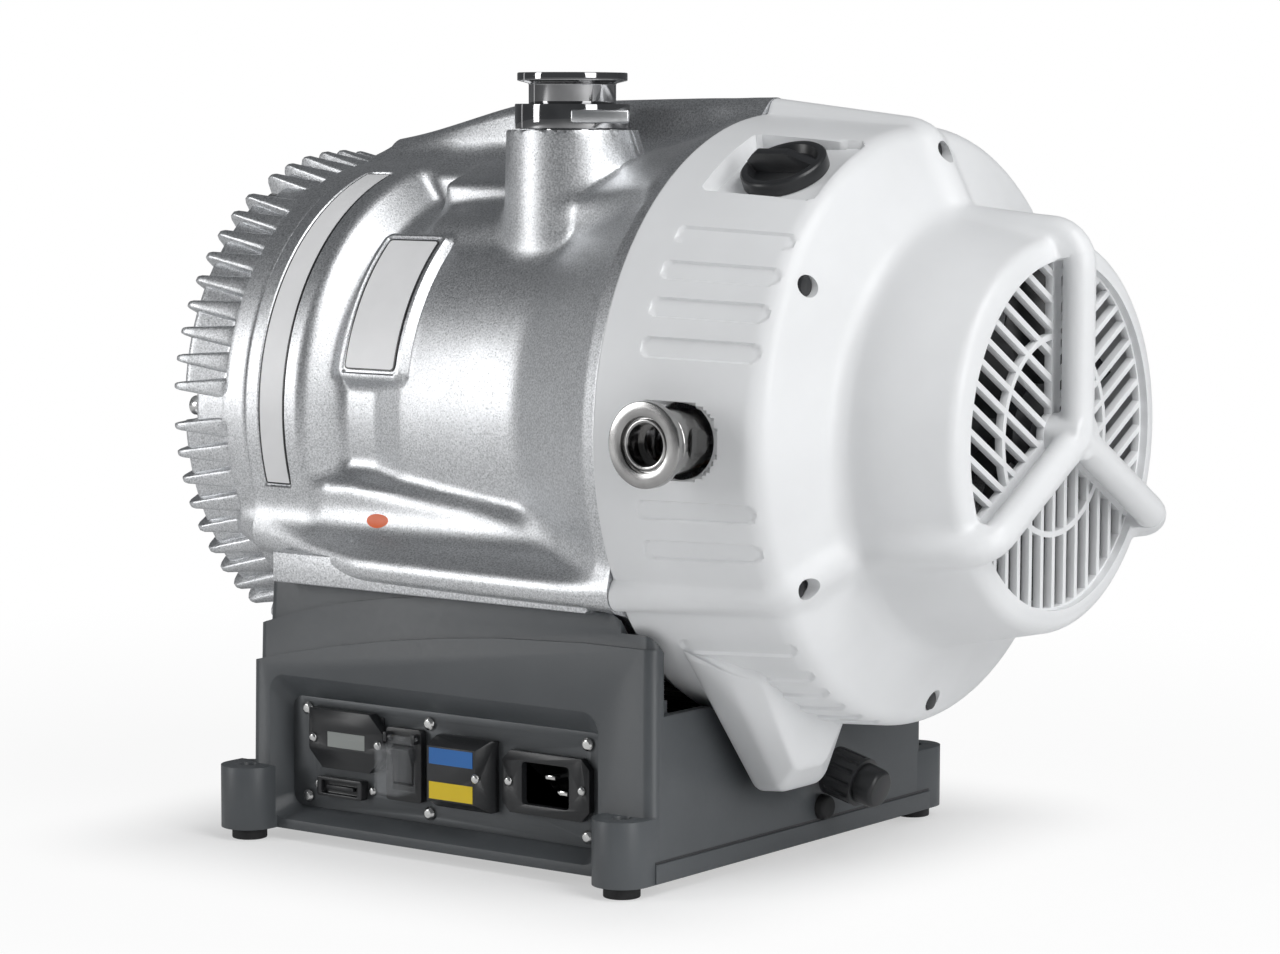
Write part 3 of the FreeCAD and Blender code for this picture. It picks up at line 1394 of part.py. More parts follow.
def make_fan():
    """Axial fan with twisted blades."""
    hub = ring(fan_start_x, fan_end_x, fan_hub_radius, fan_journal_radius)
    middle = (fan_start_x + fan_end_x) / 2
    pieces = [hub]
    for i in range(fan_blade_count):
        sections = []
        for radius, pitch in ((fan_hub_radius - 2, fan_root_pitch), (fan_tip_radius, fan_tip_pitch)):
            chord = V(math.sin(math.radians(pitch)), 0, math.cos(math.radians(pitch))) * (fan_blade_chord / 2)
            thick = V(math.cos(math.radians(pitch)), 0,
                      -math.sin(math.radians(pitch))) * (fan_blade_thickness / 2)
            centre = V(middle, -radius, shaft_height)
            points = [centre + chord + thick, centre + chord - thick, centre - chord - thick,
                      centre - chord + thick]
            sections.append(Part.makePolygon(points + [points[0]]))
        blade = Part.makeLoft(sections, True, True)
        pieces.append(around(blade, i * 360.0 / fan_blade_count))
    wheel = together(pieces)
    return wheel.cut(disc(fan_start_x - 20, fan_end_x + 20, fan_journal_radius))


# Base
def base_layer(step, arch):
    """Return one layer of the base: an upright block whose top follows an arch, with rounded corners."""
    foot = foot_height
    front = base_front_y + step * base_step
    back = base_back_y - step * base_step
    left = base_left_x + base_left_foot[step]
    left_top = base_left_x + base_left_top[step]
    start = V(left, front, foot)
    corner = V(base_right_x, front, foot)
    points = [V(x, front, z) for x, z in arch]
    first = V(left_top, front, arch[0][1])
    edges = [Part.LineSegment(start, first).toShape()]
    if len(points) > 2:
        edges.append(Part.Arc(first, points[1], points[2]).toShape())
    else:
        edges.append(Part.LineSegment(first, points[1]).toShape())
    last = points[-1]
    top_right = V(base_right_x, front, last.z)
    if last.distanceToPoint(top_right) > 1e-6:
        edges.append(Part.LineSegment(last, top_right).toShape())
    edges.append(Part.LineSegment(top_right, corner).toShape())
    edges.append(Part.LineSegment(corner, start).toShape())
    block = Part.Face(Part.Wire(edges)).extrude(V(0, back - front, 0))
    upright = []
    for edge in block.Edges:
        ends = [vertex.Point for vertex in edge.Vertexes]
        if len(ends) == 2 and abs(ends[0].y - ends[1].y) < 1e-6 and abs(ends[0].z - ends[1].z) > lug_top:
            upright.append(edge)
    return block.makeFillet(base_corner_radius, upright)


def make_base_casting():
    """Base: stepped and arched block, hollow below and between, with lugs, panel recess and cradle."""
    left_drop, middle_drop, right_drop = lower_arch_drops
    layers = [
        base_layer(0, [(0, base_top - left_drop), (arch_middle_x, base_top - middle_drop),
                       (base_right_x, base_top - right_drop)]),
        base_layer(1, [(0, base_top - upper_arch_drops[0]),
                       ((base_left_x + upper_arch_right_x) / 2, base_top - upper_arch_drops[1]),
                       (upper_arch_right_x, base_top)]),
        base_layer(2, [(0, base_top), (base_right_x, base_top)]),
    ]
    lugs = []
    for sx in (-1, 1):
        for sy in (-1, 1):
            x = sx * foot_spacing_x / 2
            y = sy * foot_spacing_y / 2
            lugs.append(Part.makeCylinder(lug_radius, lug_top - foot_height, V(x, y, foot_height)))
            wall_y = base_front_y + base_wall if sy < 0 else base_back_y - base_wall
            lugs.append(box(x - lug_radius, x + lug_radius, min(y, wall_y), max(y, wall_y), foot_height,
                            lug_top))
    body = together(layers + lugs)
    wall = base_wall
    low = foot_height - 1
    cavity_front = panel_plane_y + panel_thickness + panel_ledge
    inner_top = base_front_y + 2 * base_step + wall
    cavity = together([
        box(base_left_x + wall + 4, base_right_x - wall, cavity_front, base_back_y - 2 * base_step - wall,
            low, base_top + 1),
        box(base_left_x + wall + 8, base_right_x - wall, inner_top, cavity_front + 1, mouth_high() + wall,
            base_top + 1),
    ])
    panel_z0 = panel_centre_z - panel_height / 2
    panel_z1 = panel_centre_z + panel_height / 2
    x0 = panel_centre_x - panel_length / 2
    x1 = panel_centre_x + panel_length / 2
    pocket = Part.makeLoft([
        rounded_wire(plate_outline(x0, x1, panel_z0, panel_z1, panel_corner_radius),
                     lambda x, z: V(x, panel_plane_y + panel_thickness, z)),
        rounded_wire(plate_outline(x0, x1, panel_z0, panel_z1, panel_corner_radius),
                     lambda x, z: V(x, panel_plane_y, z)),
        rounded_wire(plate_outline(x0 - panel_mouth_side, x1 + panel_mouth_side, panel_z0 - panel_mouth_bottom,
                                   mouth_high(), panel_corner_radius + 3),
                     lambda x, z: V(x, base_front_y - 1, z)),
    ], True, True)
    window = box(x0 + panel_ledge, x1 - panel_ledge, panel_plane_y, cavity_front + 1, panel_z0 + panel_ledge,
                 panel_z1 - panel_ledge)
    flange_cut = disc(base_left_x - 20, flange_end_x + 6, flange_radius + cradle_gap)
    cowl_cut = disc(cowl_rear_x - cradle_gap, base_right_x + 20, cowl_rim_radius + cradle_gap)
    sill = box(base_right_x - wall - 1, base_right_x + 1, inner_top, inner_top + window_width,
               base_top - window_sill_drop,
               base_top + 1)
    body_cut = turned([(base_left_x - 20, 0, 0), (base_left_x - 20, body_radius + cradle_gap, 0),
                       (cover_joint_x + flare_from, body_radius + cradle_gap, 0),
                       (housing_end_x, flare_radius + cradle_gap, 0),
                       (cowl_rear_x, flare_radius + cradle_gap, 0),
                       (cowl_rear_x, 0, 0)])
    cuts = [cavity, pocket, window, flange_cut, cowl_cut, sill, body_cut]
    for sx in (-1, 1):
        for sy in (-1, 1):
            cuts.append(Part.makeCylinder(lug_hole_radius, lug_top + 2,
                                          V(sx * foot_spacing_x / 2, sy * foot_spacing_y / 2, -1)))
    for x in panel_screw_x:
        for z in panel_screw_z:
            cuts.append(Part.makeCylinder(panel_screw_radius / 2, 8, V(x, panel_plane_y, z), V(0, 1, 0)))
    for radius, y, z in ((grommet_radius - 2, grommet_y, grommet_z),
                         (socket_stub_radius, connector_y, connector_z)):
        cuts.append(Part.makeCylinder(radius, wall + 2, V(base_right_x - wall - 1, y, z), V(1, 0, 0)))
    return body.cut(cuts)


def mouth_high():
    """Return the height of the panel recess's upper edge at the front."""
    return panel_centre_z + panel_height / 2 + panel_mouth_top


def make_bottom_plate():
    """Sheet that closes the base from below, inside its walls."""
    gap = bottom_plate_inset
    front = panel_plane_y + panel_thickness + panel_ledge
    return box(base_left_x + base_wall + 4 + gap, base_right_x - base_wall - gap, front + gap,
               base_back_y - 2 * base_step - base_wall - gap, foot_height,
               foot_height + bottom_plate_thickness)


def make_rubber_feet():
    """Ring-shaped rubber feet under the lugs."""
    feet = []
    for sx in (-1, 1):
        for sy in (-1, 1):
            spot = V(sx * foot_spacing_x / 2, sy * foot_spacing_y / 2, 0)
            foot = Part.makeCylinder(foot_radius, foot_height, spot)
            feet.append(foot.cut(Part.makeCylinder(lug_hole_radius, foot_height + 2, spot - V(0, 0, 1))))
    return Part.makeCompound(feet)


def make_drive_module():
    """Drive electronics on the bottom plate, with cooling fins on its lid."""
    z0 = foot_height + bottom_plate_thickness
    x0 = (base_left_x + base_right_x - module_length) / 2
    y0 = base_back_y - base_wall - 3 * base_step - module_width - 8
    case = box(x0, x0 + module_length, y0, y0 + module_width, z0, z0 + module_height)
    pieces = [case]
    pitch = module_width / module_fin_count
    for i in range(module_fin_count):
        y = y0 + (i + 0.5) * pitch
        pieces.append(box(x0 + 6, x0 + module_length - 6, y - 1, y + 1, z0 + module_height - 1,
                          z0 + module_height + module_fin_height))
    return together(pieces)


# Control panel
def device_block(place, corner):
    """Return a device's front flange and the narrower body that passes through the plate."""
    x, z, width, height, out, depth = place
    front = panel_plane_y - out
    flange = prism_y(plate_outline(x - width / 2, x + width / 2, z - height / 2, z + height / 2, corner),
                     front,
                     panel_plane_y)
    inset = device_body_inset
    back = panel_plane_y + panel_thickness + depth
    body = box(x - width / 2 + inset, x + width / 2 - inset, panel_plane_y - 0.5, back,
               z - height / 2 + inset / 2,
               z + height / 2 - inset / 2)
    return together([flange, body])


def device_hole(place):
    """Return the cut-out of the plate for a device's body."""
    x, z, width, height, _, _ = place
    inset = device_body_inset - cut_out_gap
    return box(x - width / 2 + inset, x + width / 2 - inset, panel_plane_y - 1,
               panel_plane_y + panel_thickness + 1,
               z - height / 2 + inset / 2, z + height / 2 - inset / 2)


def make_panel_plate():
    """Steel plate of the control panel with its cut-outs."""
    gap = seat_gap
    x0 = panel_centre_x - panel_length / 2 + gap
    x1 = panel_centre_x + panel_length / 2 - gap
    z0 = panel_centre_z - panel_height / 2 + gap
    z1 = panel_centre_z + panel_height / 2 - gap
    plate = prism_y(plate_outline(x0, x1, z0, z1, panel_corner_radius - 0.5), panel_plane_y,
                    panel_plane_y + panel_thickness)
    cuts = [device_hole(p) for p in (hour_meter_place, logic_place, switch_place, selector_place,
                                     power_place)]
    for x in panel_screw_x:
        for z in panel_screw_z:
            cuts.append(Part.makeCylinder(panel_screw_radius / 2 + seat_gap, 4, V(x, panel_plane_y - 1, z),
                                          V(0, 1, 0)))
    for x, _, z in device_screw_spots():
        cuts.append(Part.makeCylinder(device_screw_radius / 2 + seat_gap, 4, V(x, panel_plane_y - 1, z),
                                      V(0, 1, 0)))
    return plate.cut(cuts)


def screw_group(spots, radius, height, shank_length, shank_radius):
    """Return pan-head screws at (x, y, z) spots, heads towards the front."""
    screws = []
    for x, y, z in spots:
        head = turned_about([
            (0, 0, 0), (0, radius, 0), (height * 0.5, radius, 0), (height, radius * 0.6, 0), (height, 0, 0),
        ], V(x, y, z), V(0, -1, 0), V(0, 0, 1))
        shank = Part.makeCylinder(shank_radius, shank_length + 0.5, V(x, y - 0.5, z), V(0, 1, 0))
        screws.append(together([head, shank]))
    return Part.makeCompound(screws)


def make_panel_screws():
    """Screws of the control panel's plate."""
    spots = [(x, panel_plane_y, z) for x in panel_screw_x for z in panel_screw_z]
    return screw_group(spots, panel_screw_radius, panel_screw_height, 8, panel_screw_radius / 2)


def device_screw_spots():
    """Return the (x, y, z) seats of the devices' own screws."""
    spots = []
    for place, share in ((hour_meter_place, 0.44), (power_place, 0.42)):
        x, z, width, _, out, _ = place
        spots += [(x - width * share, panel_plane_y - out, z), (x + width * share, panel_plane_y - out, z)]
    x, z, width, _, out, _ = logic_place
    spots += [(x - width / 2 - 3, panel_plane_y, z), (x + width / 2 + 3.5, panel_plane_y, z)]
    x, z, width, _, out, _ = selector_place
    spots += [(x - width / 2 - 3, panel_plane_y, z), (x + width * 0.36, panel_plane_y - out, z)]
    return spots


def make_device_screws():
    """Screws that hold the devices."""
    return screw_group(device_screw_spots(), device_screw_radius, device_screw_height, 2,
                       device_screw_radius / 2)


def screw_holes():
    """Return the holes under the devices' screws."""
    return [Part.makeCylinder(device_screw_radius / 2, 3, V(x, y - 0.5, z), V(0, 1, 0))
            for x, y, z in device_screw_spots()]


def make_hour_meter():
    """Hour meter: bezel with cut corners and a recess for its window."""
    x, z, width, height, out, _ = hour_meter_place
    body = device_block(hour_meter_place, 0)
    front = panel_plane_y - out
    cuts = [box(x - hour_window_width / 2, x + hour_window_width / 2, front - 1,
                front + hour_window_thickness,
                z - hour_window_height / 2, z + hour_window_height / 2)]
    cut = 9.0
    for sx, sz in ((1, 1), (1, -1), (-1, -1)):
        corner_x = x + sx * width / 2
        corner_z = z + sz * height / 2
        corners = [(corner_x, corner_z, 0), (corner_x - sx * cut, corner_z, 0),
                   (corner_x, corner_z - sz * cut, 0)]
        cuts.append(prism_y(corners, front - 1, panel_plane_y))
    return body.cut(cuts + screw_holes())


def make_hour_window():
    """Window of the hour meter."""
    x, z, _, _, out, _ = hour_meter_place
    front = panel_plane_y - out
    gap = seat_gap
    return box(x - hour_window_width / 2 + gap, x + hour_window_width / 2 - gap, front + 0.2,
               front + hour_window_thickness, z - hour_window_height / 2 + gap,
               z + hour_window_height / 2 - gap)


def make_logic_connector():
    """Multi-way socket below the hour meter."""
    x, z, width, height, out, _ = logic_place
    body = device_block(logic_place, 1.5)
    front = panel_plane_y - out
    recess = prism_y(plate_outline(x - width / 2 + 3, x + width / 2 - 3, z - height / 2 + 1.6,
                                   z + height / 2 - 1.6, 1),
                     front - 1, front + logic_recess_depth)
    tongue = box(x - width / 2 + 6, x + width / 2 - 6, front + 0.5, front + logic_recess_depth + 1, z - 1,
                 z + 1)
    return together([body.cut([recess]), tongue])


def rocker_pivot_y():
    """Return the y of the rocker's pivot."""
    return panel_plane_y - switch_place[4] + 2.0


def make_switch_housing():
    """Frame of the rocker switch, open in the middle for the rocker, with ears for the guard's pin."""
    x, z, width, height, out, _ = switch_place
    body = device_block(switch_place, 2.0)
    front = panel_plane_y - out
    gap = free_gap + 0.2
    opening = box(x - rocker_width / 2 - gap, x + rocker_width / 2 + gap, front - 1,
                  rocker_pivot_y() + rocker_depth + 2,
                  z - rocker_height / 2 - gap, z + rocker_height / 2 + gap)
    pin_hole = Part.makeCylinder(guard_pin_radius + running_fit, guard_width + 8,
                                 V(x - guard_width / 2 - 4, front - guard_pin_radius - 0.8,
                                   guard_hinge_z()), V(1, 0, 0))
    pivot_hole = Part.makeCylinder(rocker_pin_radius, rocker_width + 5,
                                   V(x - rocker_width / 2 - 2.5, rocker_pivot_y(), z),
                                   V(1, 0, 0))
    ears = []
    for side in (-1, 1):
        ear_x = x + side * (guard_width / 2 + free_gap + 1.0)
        ears.append(box(ear_x - 1, ear_x + 1, front - 4, front + 1, guard_hinge_z() - 2.4,
                        guard_hinge_z() + 2.4))
    return together([body] + ears).cut([opening, pin_hole, pivot_hole])


def guard_hinge_z():
    """Return the height of the guard's hinge, at its upper edge."""
    return switch_place[1] + guard_height / 2 + 0.5


def make_switch_rocker():
    """Rocker with a shallow bend in its face, its upper end standing out, with a bore for its pivot."""
    x, z, _, _, _, _ = switch_place
    y = rocker_pivot_y()
    half = rocker_height / 2
    out = rocker_stand_out
    corners = [
        (y - out, z + half - 1, 0.6), (y - out * 0.52, z, 0), (y - out * 0.42, z - half + 1, 0.6),
        (y + 0.5, z - half + 0.6, 0), (y + rocker_depth, z - 3, 1), (y + rocker_depth, z + 3, 1),
        (y - 1.0, z + half - 0.4, 0),
    ]
    body = prism_x(corners, x - rocker_width / 2, x + rocker_width / 2)
    bore = Part.makeCylinder(rocker_pin_radius + running_fit, rocker_width + 2,
                             V(x - rocker_width / 2 - 1, y, z), V(1, 0, 0))
    return body.cut(bore)


def make_switch_pivot():
    """Pin that the rocker turns on, held in the switch housing's sides."""
    x, z, _, _, _, _ = switch_place
    reach = rocker_width / 2 + 2.5
    return Part.makeCylinder(rocker_pin_radius, 2 * reach, V(x - reach, rocker_pivot_y(), z), V(1, 0, 0))


def make_switch_guard():
    """Clear hinged cover over the rocker."""
    x, z, _, _, out, _ = switch_place
    front = panel_plane_y - out
    half = guard_width / 2
    y1 = front - free_gap
    y0 = y1 - guard_depth
    low = z - guard_height / 2
    high = z + guard_height / 2 - 2.2
    shell = box(x - half, x + half, y0, y1, low, high)
    wall = guard_wall
    inner = box(x - half + wall, x + half - wall, y0 + wall, y1 + 1, low + wall, high - wall)
    pin = Part.makeCylinder(guard_pin_radius, guard_width + 2 * free_gap + 4,
                            V(x - half - free_gap - 2, front - guard_pin_radius - 0.8,
                              guard_hinge_z()), V(1, 0, 0))
    arm = box(x - half, x + half, front - guard_pin_radius - 1.8, front - 1.0, high - wall, guard_hinge_z())
    return together([shell.cut(inner), arm, pin])


def make_voltage_selector():
    """Voltage selector: a hood with sloping top, bottom and side."""
    x, z, width, height, out, _ = selector_place
    body = device_block(selector_place, 1.0)
    front = panel_plane_y - out
    lean = 6.0
    x1 = x + width / 2
    top = z + height / 2
    bottom = z - height / 2
    side = Part.Face(rounded_wire([(x1 - lean, front - 1, 0), (x1 + 1, front - 1, 0),
                                   (x1 + 1, panel_plane_y - 1, 0)],
                                  lambda u, y: V(u, y, bottom - 1))).extrude(V(0, 0, height + 2))
    upper = prism_x([(front - 1, top - 5, 0), (front - 1, top + 1, 0), (panel_plane_y - 3, top + 1, 0)],
                    x - width, x + width)
    lower = prism_x([(front - 1, bottom + 5, 0), (front - 1, bottom - 1, 0),
                     (panel_plane_y - 3, bottom - 1, 0)],
                    x - width, x + width)
    return body.cut([side, upper, lower] + screw_holes())


def make_power_inlet():
    """Mains inlet: a flange with cut corners and the cavity for a plug."""
    x, z, width, height, out, _ = power_place
    body = device_block(power_place, 0)
    front = panel_plane_y - out
    cut = 5.0
    cuts = []
    for sx in (-1, 1):
        for sz in (-1, 1):
            cx = x + sx * width / 2
            cz = z + sz * height / 2
            corners = [(cx, cz, 0), (cx - sx * cut, cz, 0), (cx, cz - sz * cut, 0)]
            cuts.append(prism_y(corners, front - 1, panel_plane_y))
    cavity = prism_y(plate_outline(x - power_cavity_width / 2, x + power_cavity_width / 2,
                                   z - power_cavity_height / 2,
                                   z + power_cavity_height / 2, 2.0), front - 1, front + power_cavity_depth)
    return body.cut(cuts + [cavity] + screw_holes())


def make_power_pins():
    """Three flat pins in the mains inlet."""
    x, z, _, _, out, _ = power_place
    back = panel_plane_y - out + power_cavity_depth
    pins = []
    for dx, dz in ((0, 3.5), (-7.5, -3.5), (7.5, -3.5)):
        pins.append(box(x + dx - power_pin_width / 2, x + dx + power_pin_width / 2, back - power_pin_length,
                        back,
                        z + dz - power_pin_thickness / 2, z + dz + power_pin_thickness / 2))
    return Part.makeCompound(pins)


# Connector and grommet
def connector_axis():
    """Return the direction of the connector, to the fan side and a little down."""
    angle = math.radians(connector_drop)
    return V(math.cos(angle), 0, -math.sin(angle))


def connector_piece(start, length, radius):
    """Return a cylinder on the connector's axis."""
    spot = V(base_right_x, connector_y, connector_z) + connector_axis() * start
    return Part.makeCylinder(radius, length, spot, connector_axis())


def make_connector_socket():
    """Socket on the base's end wall, with a stub through the wall."""
    inside = box(base_right_x - 4 * socket_radius, base_right_x, connector_y - 2 * socket_radius,
                 connector_y + 2 * socket_radius, connector_z - 2 * socket_radius,
                 connector_z + 2 * socket_radius)
    outside = connector_piece(-socket_radius, socket_length + socket_radius, socket_radius).cut(inside)
    stub = Part.makeCylinder(socket_stub_radius - seat_gap, base_wall + 2,
                             V(base_right_x - base_wall, connector_y, connector_z),
                             V(1, 0, 0))
    return together([outside, stub])


def make_connector_collar():
    """Ribbed coupling collar."""
    body = connector_piece(collar_start, collar_length, collar_radius)
    hole = connector_piece(collar_start - 1, socket_length - collar_start + 1 + seat_gap,
                           socket_radius + seat_gap)
    axis = connector_axis()
    side = V(0, 1, 0)
    up = axis.cross(side)
    cuts = [hole]
    for i in range(collar_rib_count):
        angle = 2 * math.pi * i / collar_rib_count
        out = side * math.cos(angle) + up * math.sin(angle)
        spot = V(base_right_x, connector_y,
                 connector_z) + axis * (collar_start + 3) + out * (collar_radius + 0.6)
        cuts.append(Part.makeCylinder(1.4, collar_length - 5, spot, axis))
    return body.cut(cuts)


def make_connector_cap():
    """Closed end of the connector."""
    start = collar_start + collar_length
    origin = V(base_right_x, connector_y, connector_z) + connector_axis() * start
    return turned_about([
        (0, 0, 0), (0, cap_radius, 0), (cap_length - 1.5, cap_radius - 0.6, 0),
        (cap_length, cap_radius - 2, 0),
        (cap_length, 0, 0),
    ], origin, connector_axis(), V(0, 1, 0))


def make_wall_grommet():
    """Round blind grommet in the base's end wall."""
    return turned_about([
        (-base_wall, 0, 0), (-base_wall, grommet_radius - 2 - seat_gap, 0),
        (0, grommet_radius - 2 - seat_gap, 0),
        (0, grommet_radius, 0), (grommet_height - 1, grommet_radius - 0.5, 0),
        (grommet_height, grommet_radius - 1.5, 0), (grommet_height, 0, 0),
    ], V(base_right_x, grommet_y, grommet_z), V(1, 0, 0), V(0, 0, 1))


makers = {
    "fixed_scroll": make_fixed_scroll,
    "fixed_tip_seal": make_fixed_tip_seal,
    "cover_seal": lambda: seal_ring(seat_gap),
    "cover_bolts": make_cover_bolts,
    "orbiting_scroll": make_orbiting_scroll,
    "orbiting_tip_seal": make_orbiting_tip_seal,
    "orbit_bearing": make_orbit_bearing,
    "bellows": make_bellows,
    "drive_shaft": make_drive_shaft,
    "counterweight": make_counterweight,
    "front_bearing": make_front_bearing,
    "rear_bearing": make_rear_bearing,
    "end_bearing": make_end_bearing,
    "pump_housing": make_pump_housing,
    "inlet_nozzle": make_inlet_nozzle,
    "inlet_collar": make_inlet_collar,
    "inlet_strainer": make_inlet_strainer,
    "exhaust_pipe": make_exhaust_pipe,
    "exhaust_nozzle": make_exhaust_nozzle,
    "exhaust_valve_disc": make_exhaust_valve_disc,
    "exhaust_valve_spring": make_exhaust_valve_spring,
    "motor_frame": make_motor_frame,
    "motor_stator": make_stator,
    "motor_rotor": make_rotor,
    "motor_end_shield": make_end_shield,
    "cooling_fan": make_fan,
    "fan_cowl": make_fan_cowl,
    "grille_insert": make_grille,
    "cowl_posts": make_cowl_posts,
    "cowl_screws": make_cowl_screws,
    "gas_ballast_knob": make_knob,
    "gas_ballast_valve": make_ballast_valve,
    "base_casting": make_base_casting,
    "base_bottom_plate": make_bottom_plate,
    "rubber_feet": make_rubber_feet,
    "drive_module": make_drive_module,
    "control_panel_plate": make_panel_plate,
    "panel_screws": make_panel_screws,
    "device_screws": make_device_screws,
    "hour_meter": make_hour_meter,
    "hour_meter_window": make_hour_window,
    "logic_connector": make_logic_connector,
    "switch_housing": make_switch_housing,
    "switch_rocker": make_switch_rocker,
    "switch_pivot": make_switch_pivot,
    "switch_guard": make_switch_guard,
    "voltage_selector": make_voltage_selector,
    "power_inlet": make_power_inlet,
    "power_pins": make_power_pins,
    "connector_socket": make_connector_socket,
    "connector_collar": make_connector_collar,
    "connector_cap": make_connector_cap,
    "wall_grommet": make_wall_grommet,
}

os.makedirs("parts", exist_ok=True)
for node, maker in makers.items():
    shape = maker()
    print(f"{node}: {len(shape.Solids)} solid(s), {shape.Volume / 1000:.1f} cm3, valid {shape.isValid()}")
    shape.exportStep(f"parts/{node}.step")
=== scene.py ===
"""Looks of a dry scroll vacuum pump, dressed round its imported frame.

Lengths are in millimetres, unless a name ends in _m or a line says metres. The meshes are in metres.
Frame: +X runs along the shaft towards the fan, -Y is the operating side, +Z is up.
A station is a place along X, and a radius is measured from the shaft line.
A turn is an angle about the shaft in degrees: 0 faces the front, 90 is up, 180 is the back.
"""

import json
import logging
import math
from dataclasses import dataclass, field
from enum import Enum

import bmesh
import bpy
import numpy as np
from mathutils import Matrix, Vector


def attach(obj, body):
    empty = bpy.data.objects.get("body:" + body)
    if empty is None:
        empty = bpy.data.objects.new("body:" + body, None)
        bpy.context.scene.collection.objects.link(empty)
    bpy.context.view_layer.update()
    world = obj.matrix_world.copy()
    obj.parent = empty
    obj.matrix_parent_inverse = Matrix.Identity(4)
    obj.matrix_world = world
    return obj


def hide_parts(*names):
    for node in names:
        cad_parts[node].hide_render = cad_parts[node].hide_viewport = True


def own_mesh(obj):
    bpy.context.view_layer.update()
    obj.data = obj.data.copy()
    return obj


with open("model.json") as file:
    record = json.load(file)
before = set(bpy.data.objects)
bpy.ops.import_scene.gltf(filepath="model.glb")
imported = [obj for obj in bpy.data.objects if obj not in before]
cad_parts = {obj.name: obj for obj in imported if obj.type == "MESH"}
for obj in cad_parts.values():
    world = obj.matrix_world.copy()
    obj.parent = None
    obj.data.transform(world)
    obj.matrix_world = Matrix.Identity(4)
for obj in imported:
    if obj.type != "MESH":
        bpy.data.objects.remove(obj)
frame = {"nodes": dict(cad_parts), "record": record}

log = logging.getLogger("scroll_pump")
Array = np.ndarray
Material = bpy.types.Material
Mesh = bpy.types.Mesh
Node = bpy.types.Node
Socket = bpy.types.NodeSocket
Point = tuple[float, float, float]

MM = 0.001
SHAFT_Z = 220.0
INLET_MM = (27.0, -48.0, 363.0)
EXHAUST_MM = (163.0, -172.0, 221.0)
BAR_TURNS = (90.0, -30.0, 210.0)
WHITE = (1.0, 1.0, 1.0)


class Axis(Enum):
    """Directions that a brushed or turned finish can follow."""

    X = (1.0, 0.0, 0.0)
    Y = (0.0, 1.0, 0.0)
    Z = (0.0, 0.0, 1.0)


# Shader maths and finishes
class Maths:
    """A number or vector socket that Python's operators turn into nodes."""

    def __init__(self, bench: "Wiring", source: Socket | Node) -> None:
        """Keep the socket, or a node's first output, and the bench that adds nodes to its tree."""
        self.bench = bench
        self.socket = source.outputs[0] if isinstance(source, Node) else source

    def join(self, operation: str, *others: "Maths | float") -> "Maths":
        """Return the result of a Math node that takes this value first."""
        return self.bench.maths(operation, self, *others)

    def __add__(self, other: "Maths | float") -> "Maths":
        """Sum."""
        return self.join("ADD", other)

    __radd__ = __add__

    def __mul__(self, other: "Maths | float") -> "Maths":
        """Product."""
        return self.join("MULTIPLY", other)

    __rmul__ = __mul__

    def __sub__(self, other: "Maths | float") -> "Maths":
        """Difference."""
        return self.join("SUBTRACT", other)

    def __rsub__(self, other: float) -> "Maths":
        """Difference from a number."""
        return self.bench.maths("SUBTRACT", other, self)

    def __truediv__(self, other: "Maths | float") -> "Maths":
        """Quotient."""
        return self.join("DIVIDE", other)

    def __rtruediv__(self, other: float) -> "Maths":
        """Quotient of a number."""
        return self.bench.maths("DIVIDE", other, self)

    def swing(self, span: float) -> "Maths":
        """Return how far a value between 0 and 1 is from its middle, times a span."""
        return (self - 0.5) * span

    def clamp(self, low: float, high: float) -> "Maths":
        """Keep the value between two limits."""
        return self.join("MAXIMUM", low).join("MINIMUM", high)

    def step(self, low: float, high: float) -> "Maths":
        """Return 0 below low, 1 above high and a smooth rise between."""
        return Maths(self.bench, self.bench.node("ShaderNodeMapRange", {"interpolation_type": "SMOOTHSTEP"},
                                                 {"Value": self, "From Min": low, "From Max": high}))


class Wiring:
    """Adds nodes to a tree and links them."""

    def __init__(self, tree: bpy.types.NodeTree) -> None:
        """Start with the tree empty."""
        self.tree = tree
        tree.nodes.clear()

    def node(self, kind: str, settings: dict | None = None, inputs: dict | None = None) -> Node:
        """Add a node.

        Args:
            kind: The node's type name.
            settings: Its properties, set before its sockets.
            inputs: Socket names or indices, with what feeds them.

        Returns:
            The new node.
        """
        made = self.tree.nodes.new(kind)
        for key, value in (settings or {}).items():
            setattr(made, key, value)
        for key, value in (inputs or {}).items():
            self.feed(made.inputs[key], value)
        return made

    def feed(self, socket: Socket, value: object) -> None:
        """Give a socket a value or a link.

        Args:
            socket: The socket.
            value: A plain value, or a Maths, a socket or a node's first output to link.
        """
        if isinstance(value, Maths):
            value = value.socket
        elif isinstance(value, Node):
            value = value.outputs[0]
        if isinstance(value, Socket):
            self.tree.links.new(value, socket)
        elif socket.type == "RGBA":
            socket.default_value = (*value, 1.0)
        else:
            socket.default_value = value

    def maths(self, operation: str, *values: Maths | Socket | float) -> Maths:
        """Add a Math node on values or numbers and return its result."""
        return Maths(self, self.node("ShaderNodeMath", {"operation": operation}, dict(enumerate(values))))

    def vectors(self, operation: str, *values: object) -> Node:
        """Add a Vector Math node on vectors."""
        return self.node("ShaderNodeVectorMath", {"operation": operation}, dict(enumerate(values)))

    def measure(self, operation: str, *values: object) -> Maths:
        """Return the number that a Vector Math node gives."""
        return Maths(self, self.vectors(operation, *values).outputs[1])


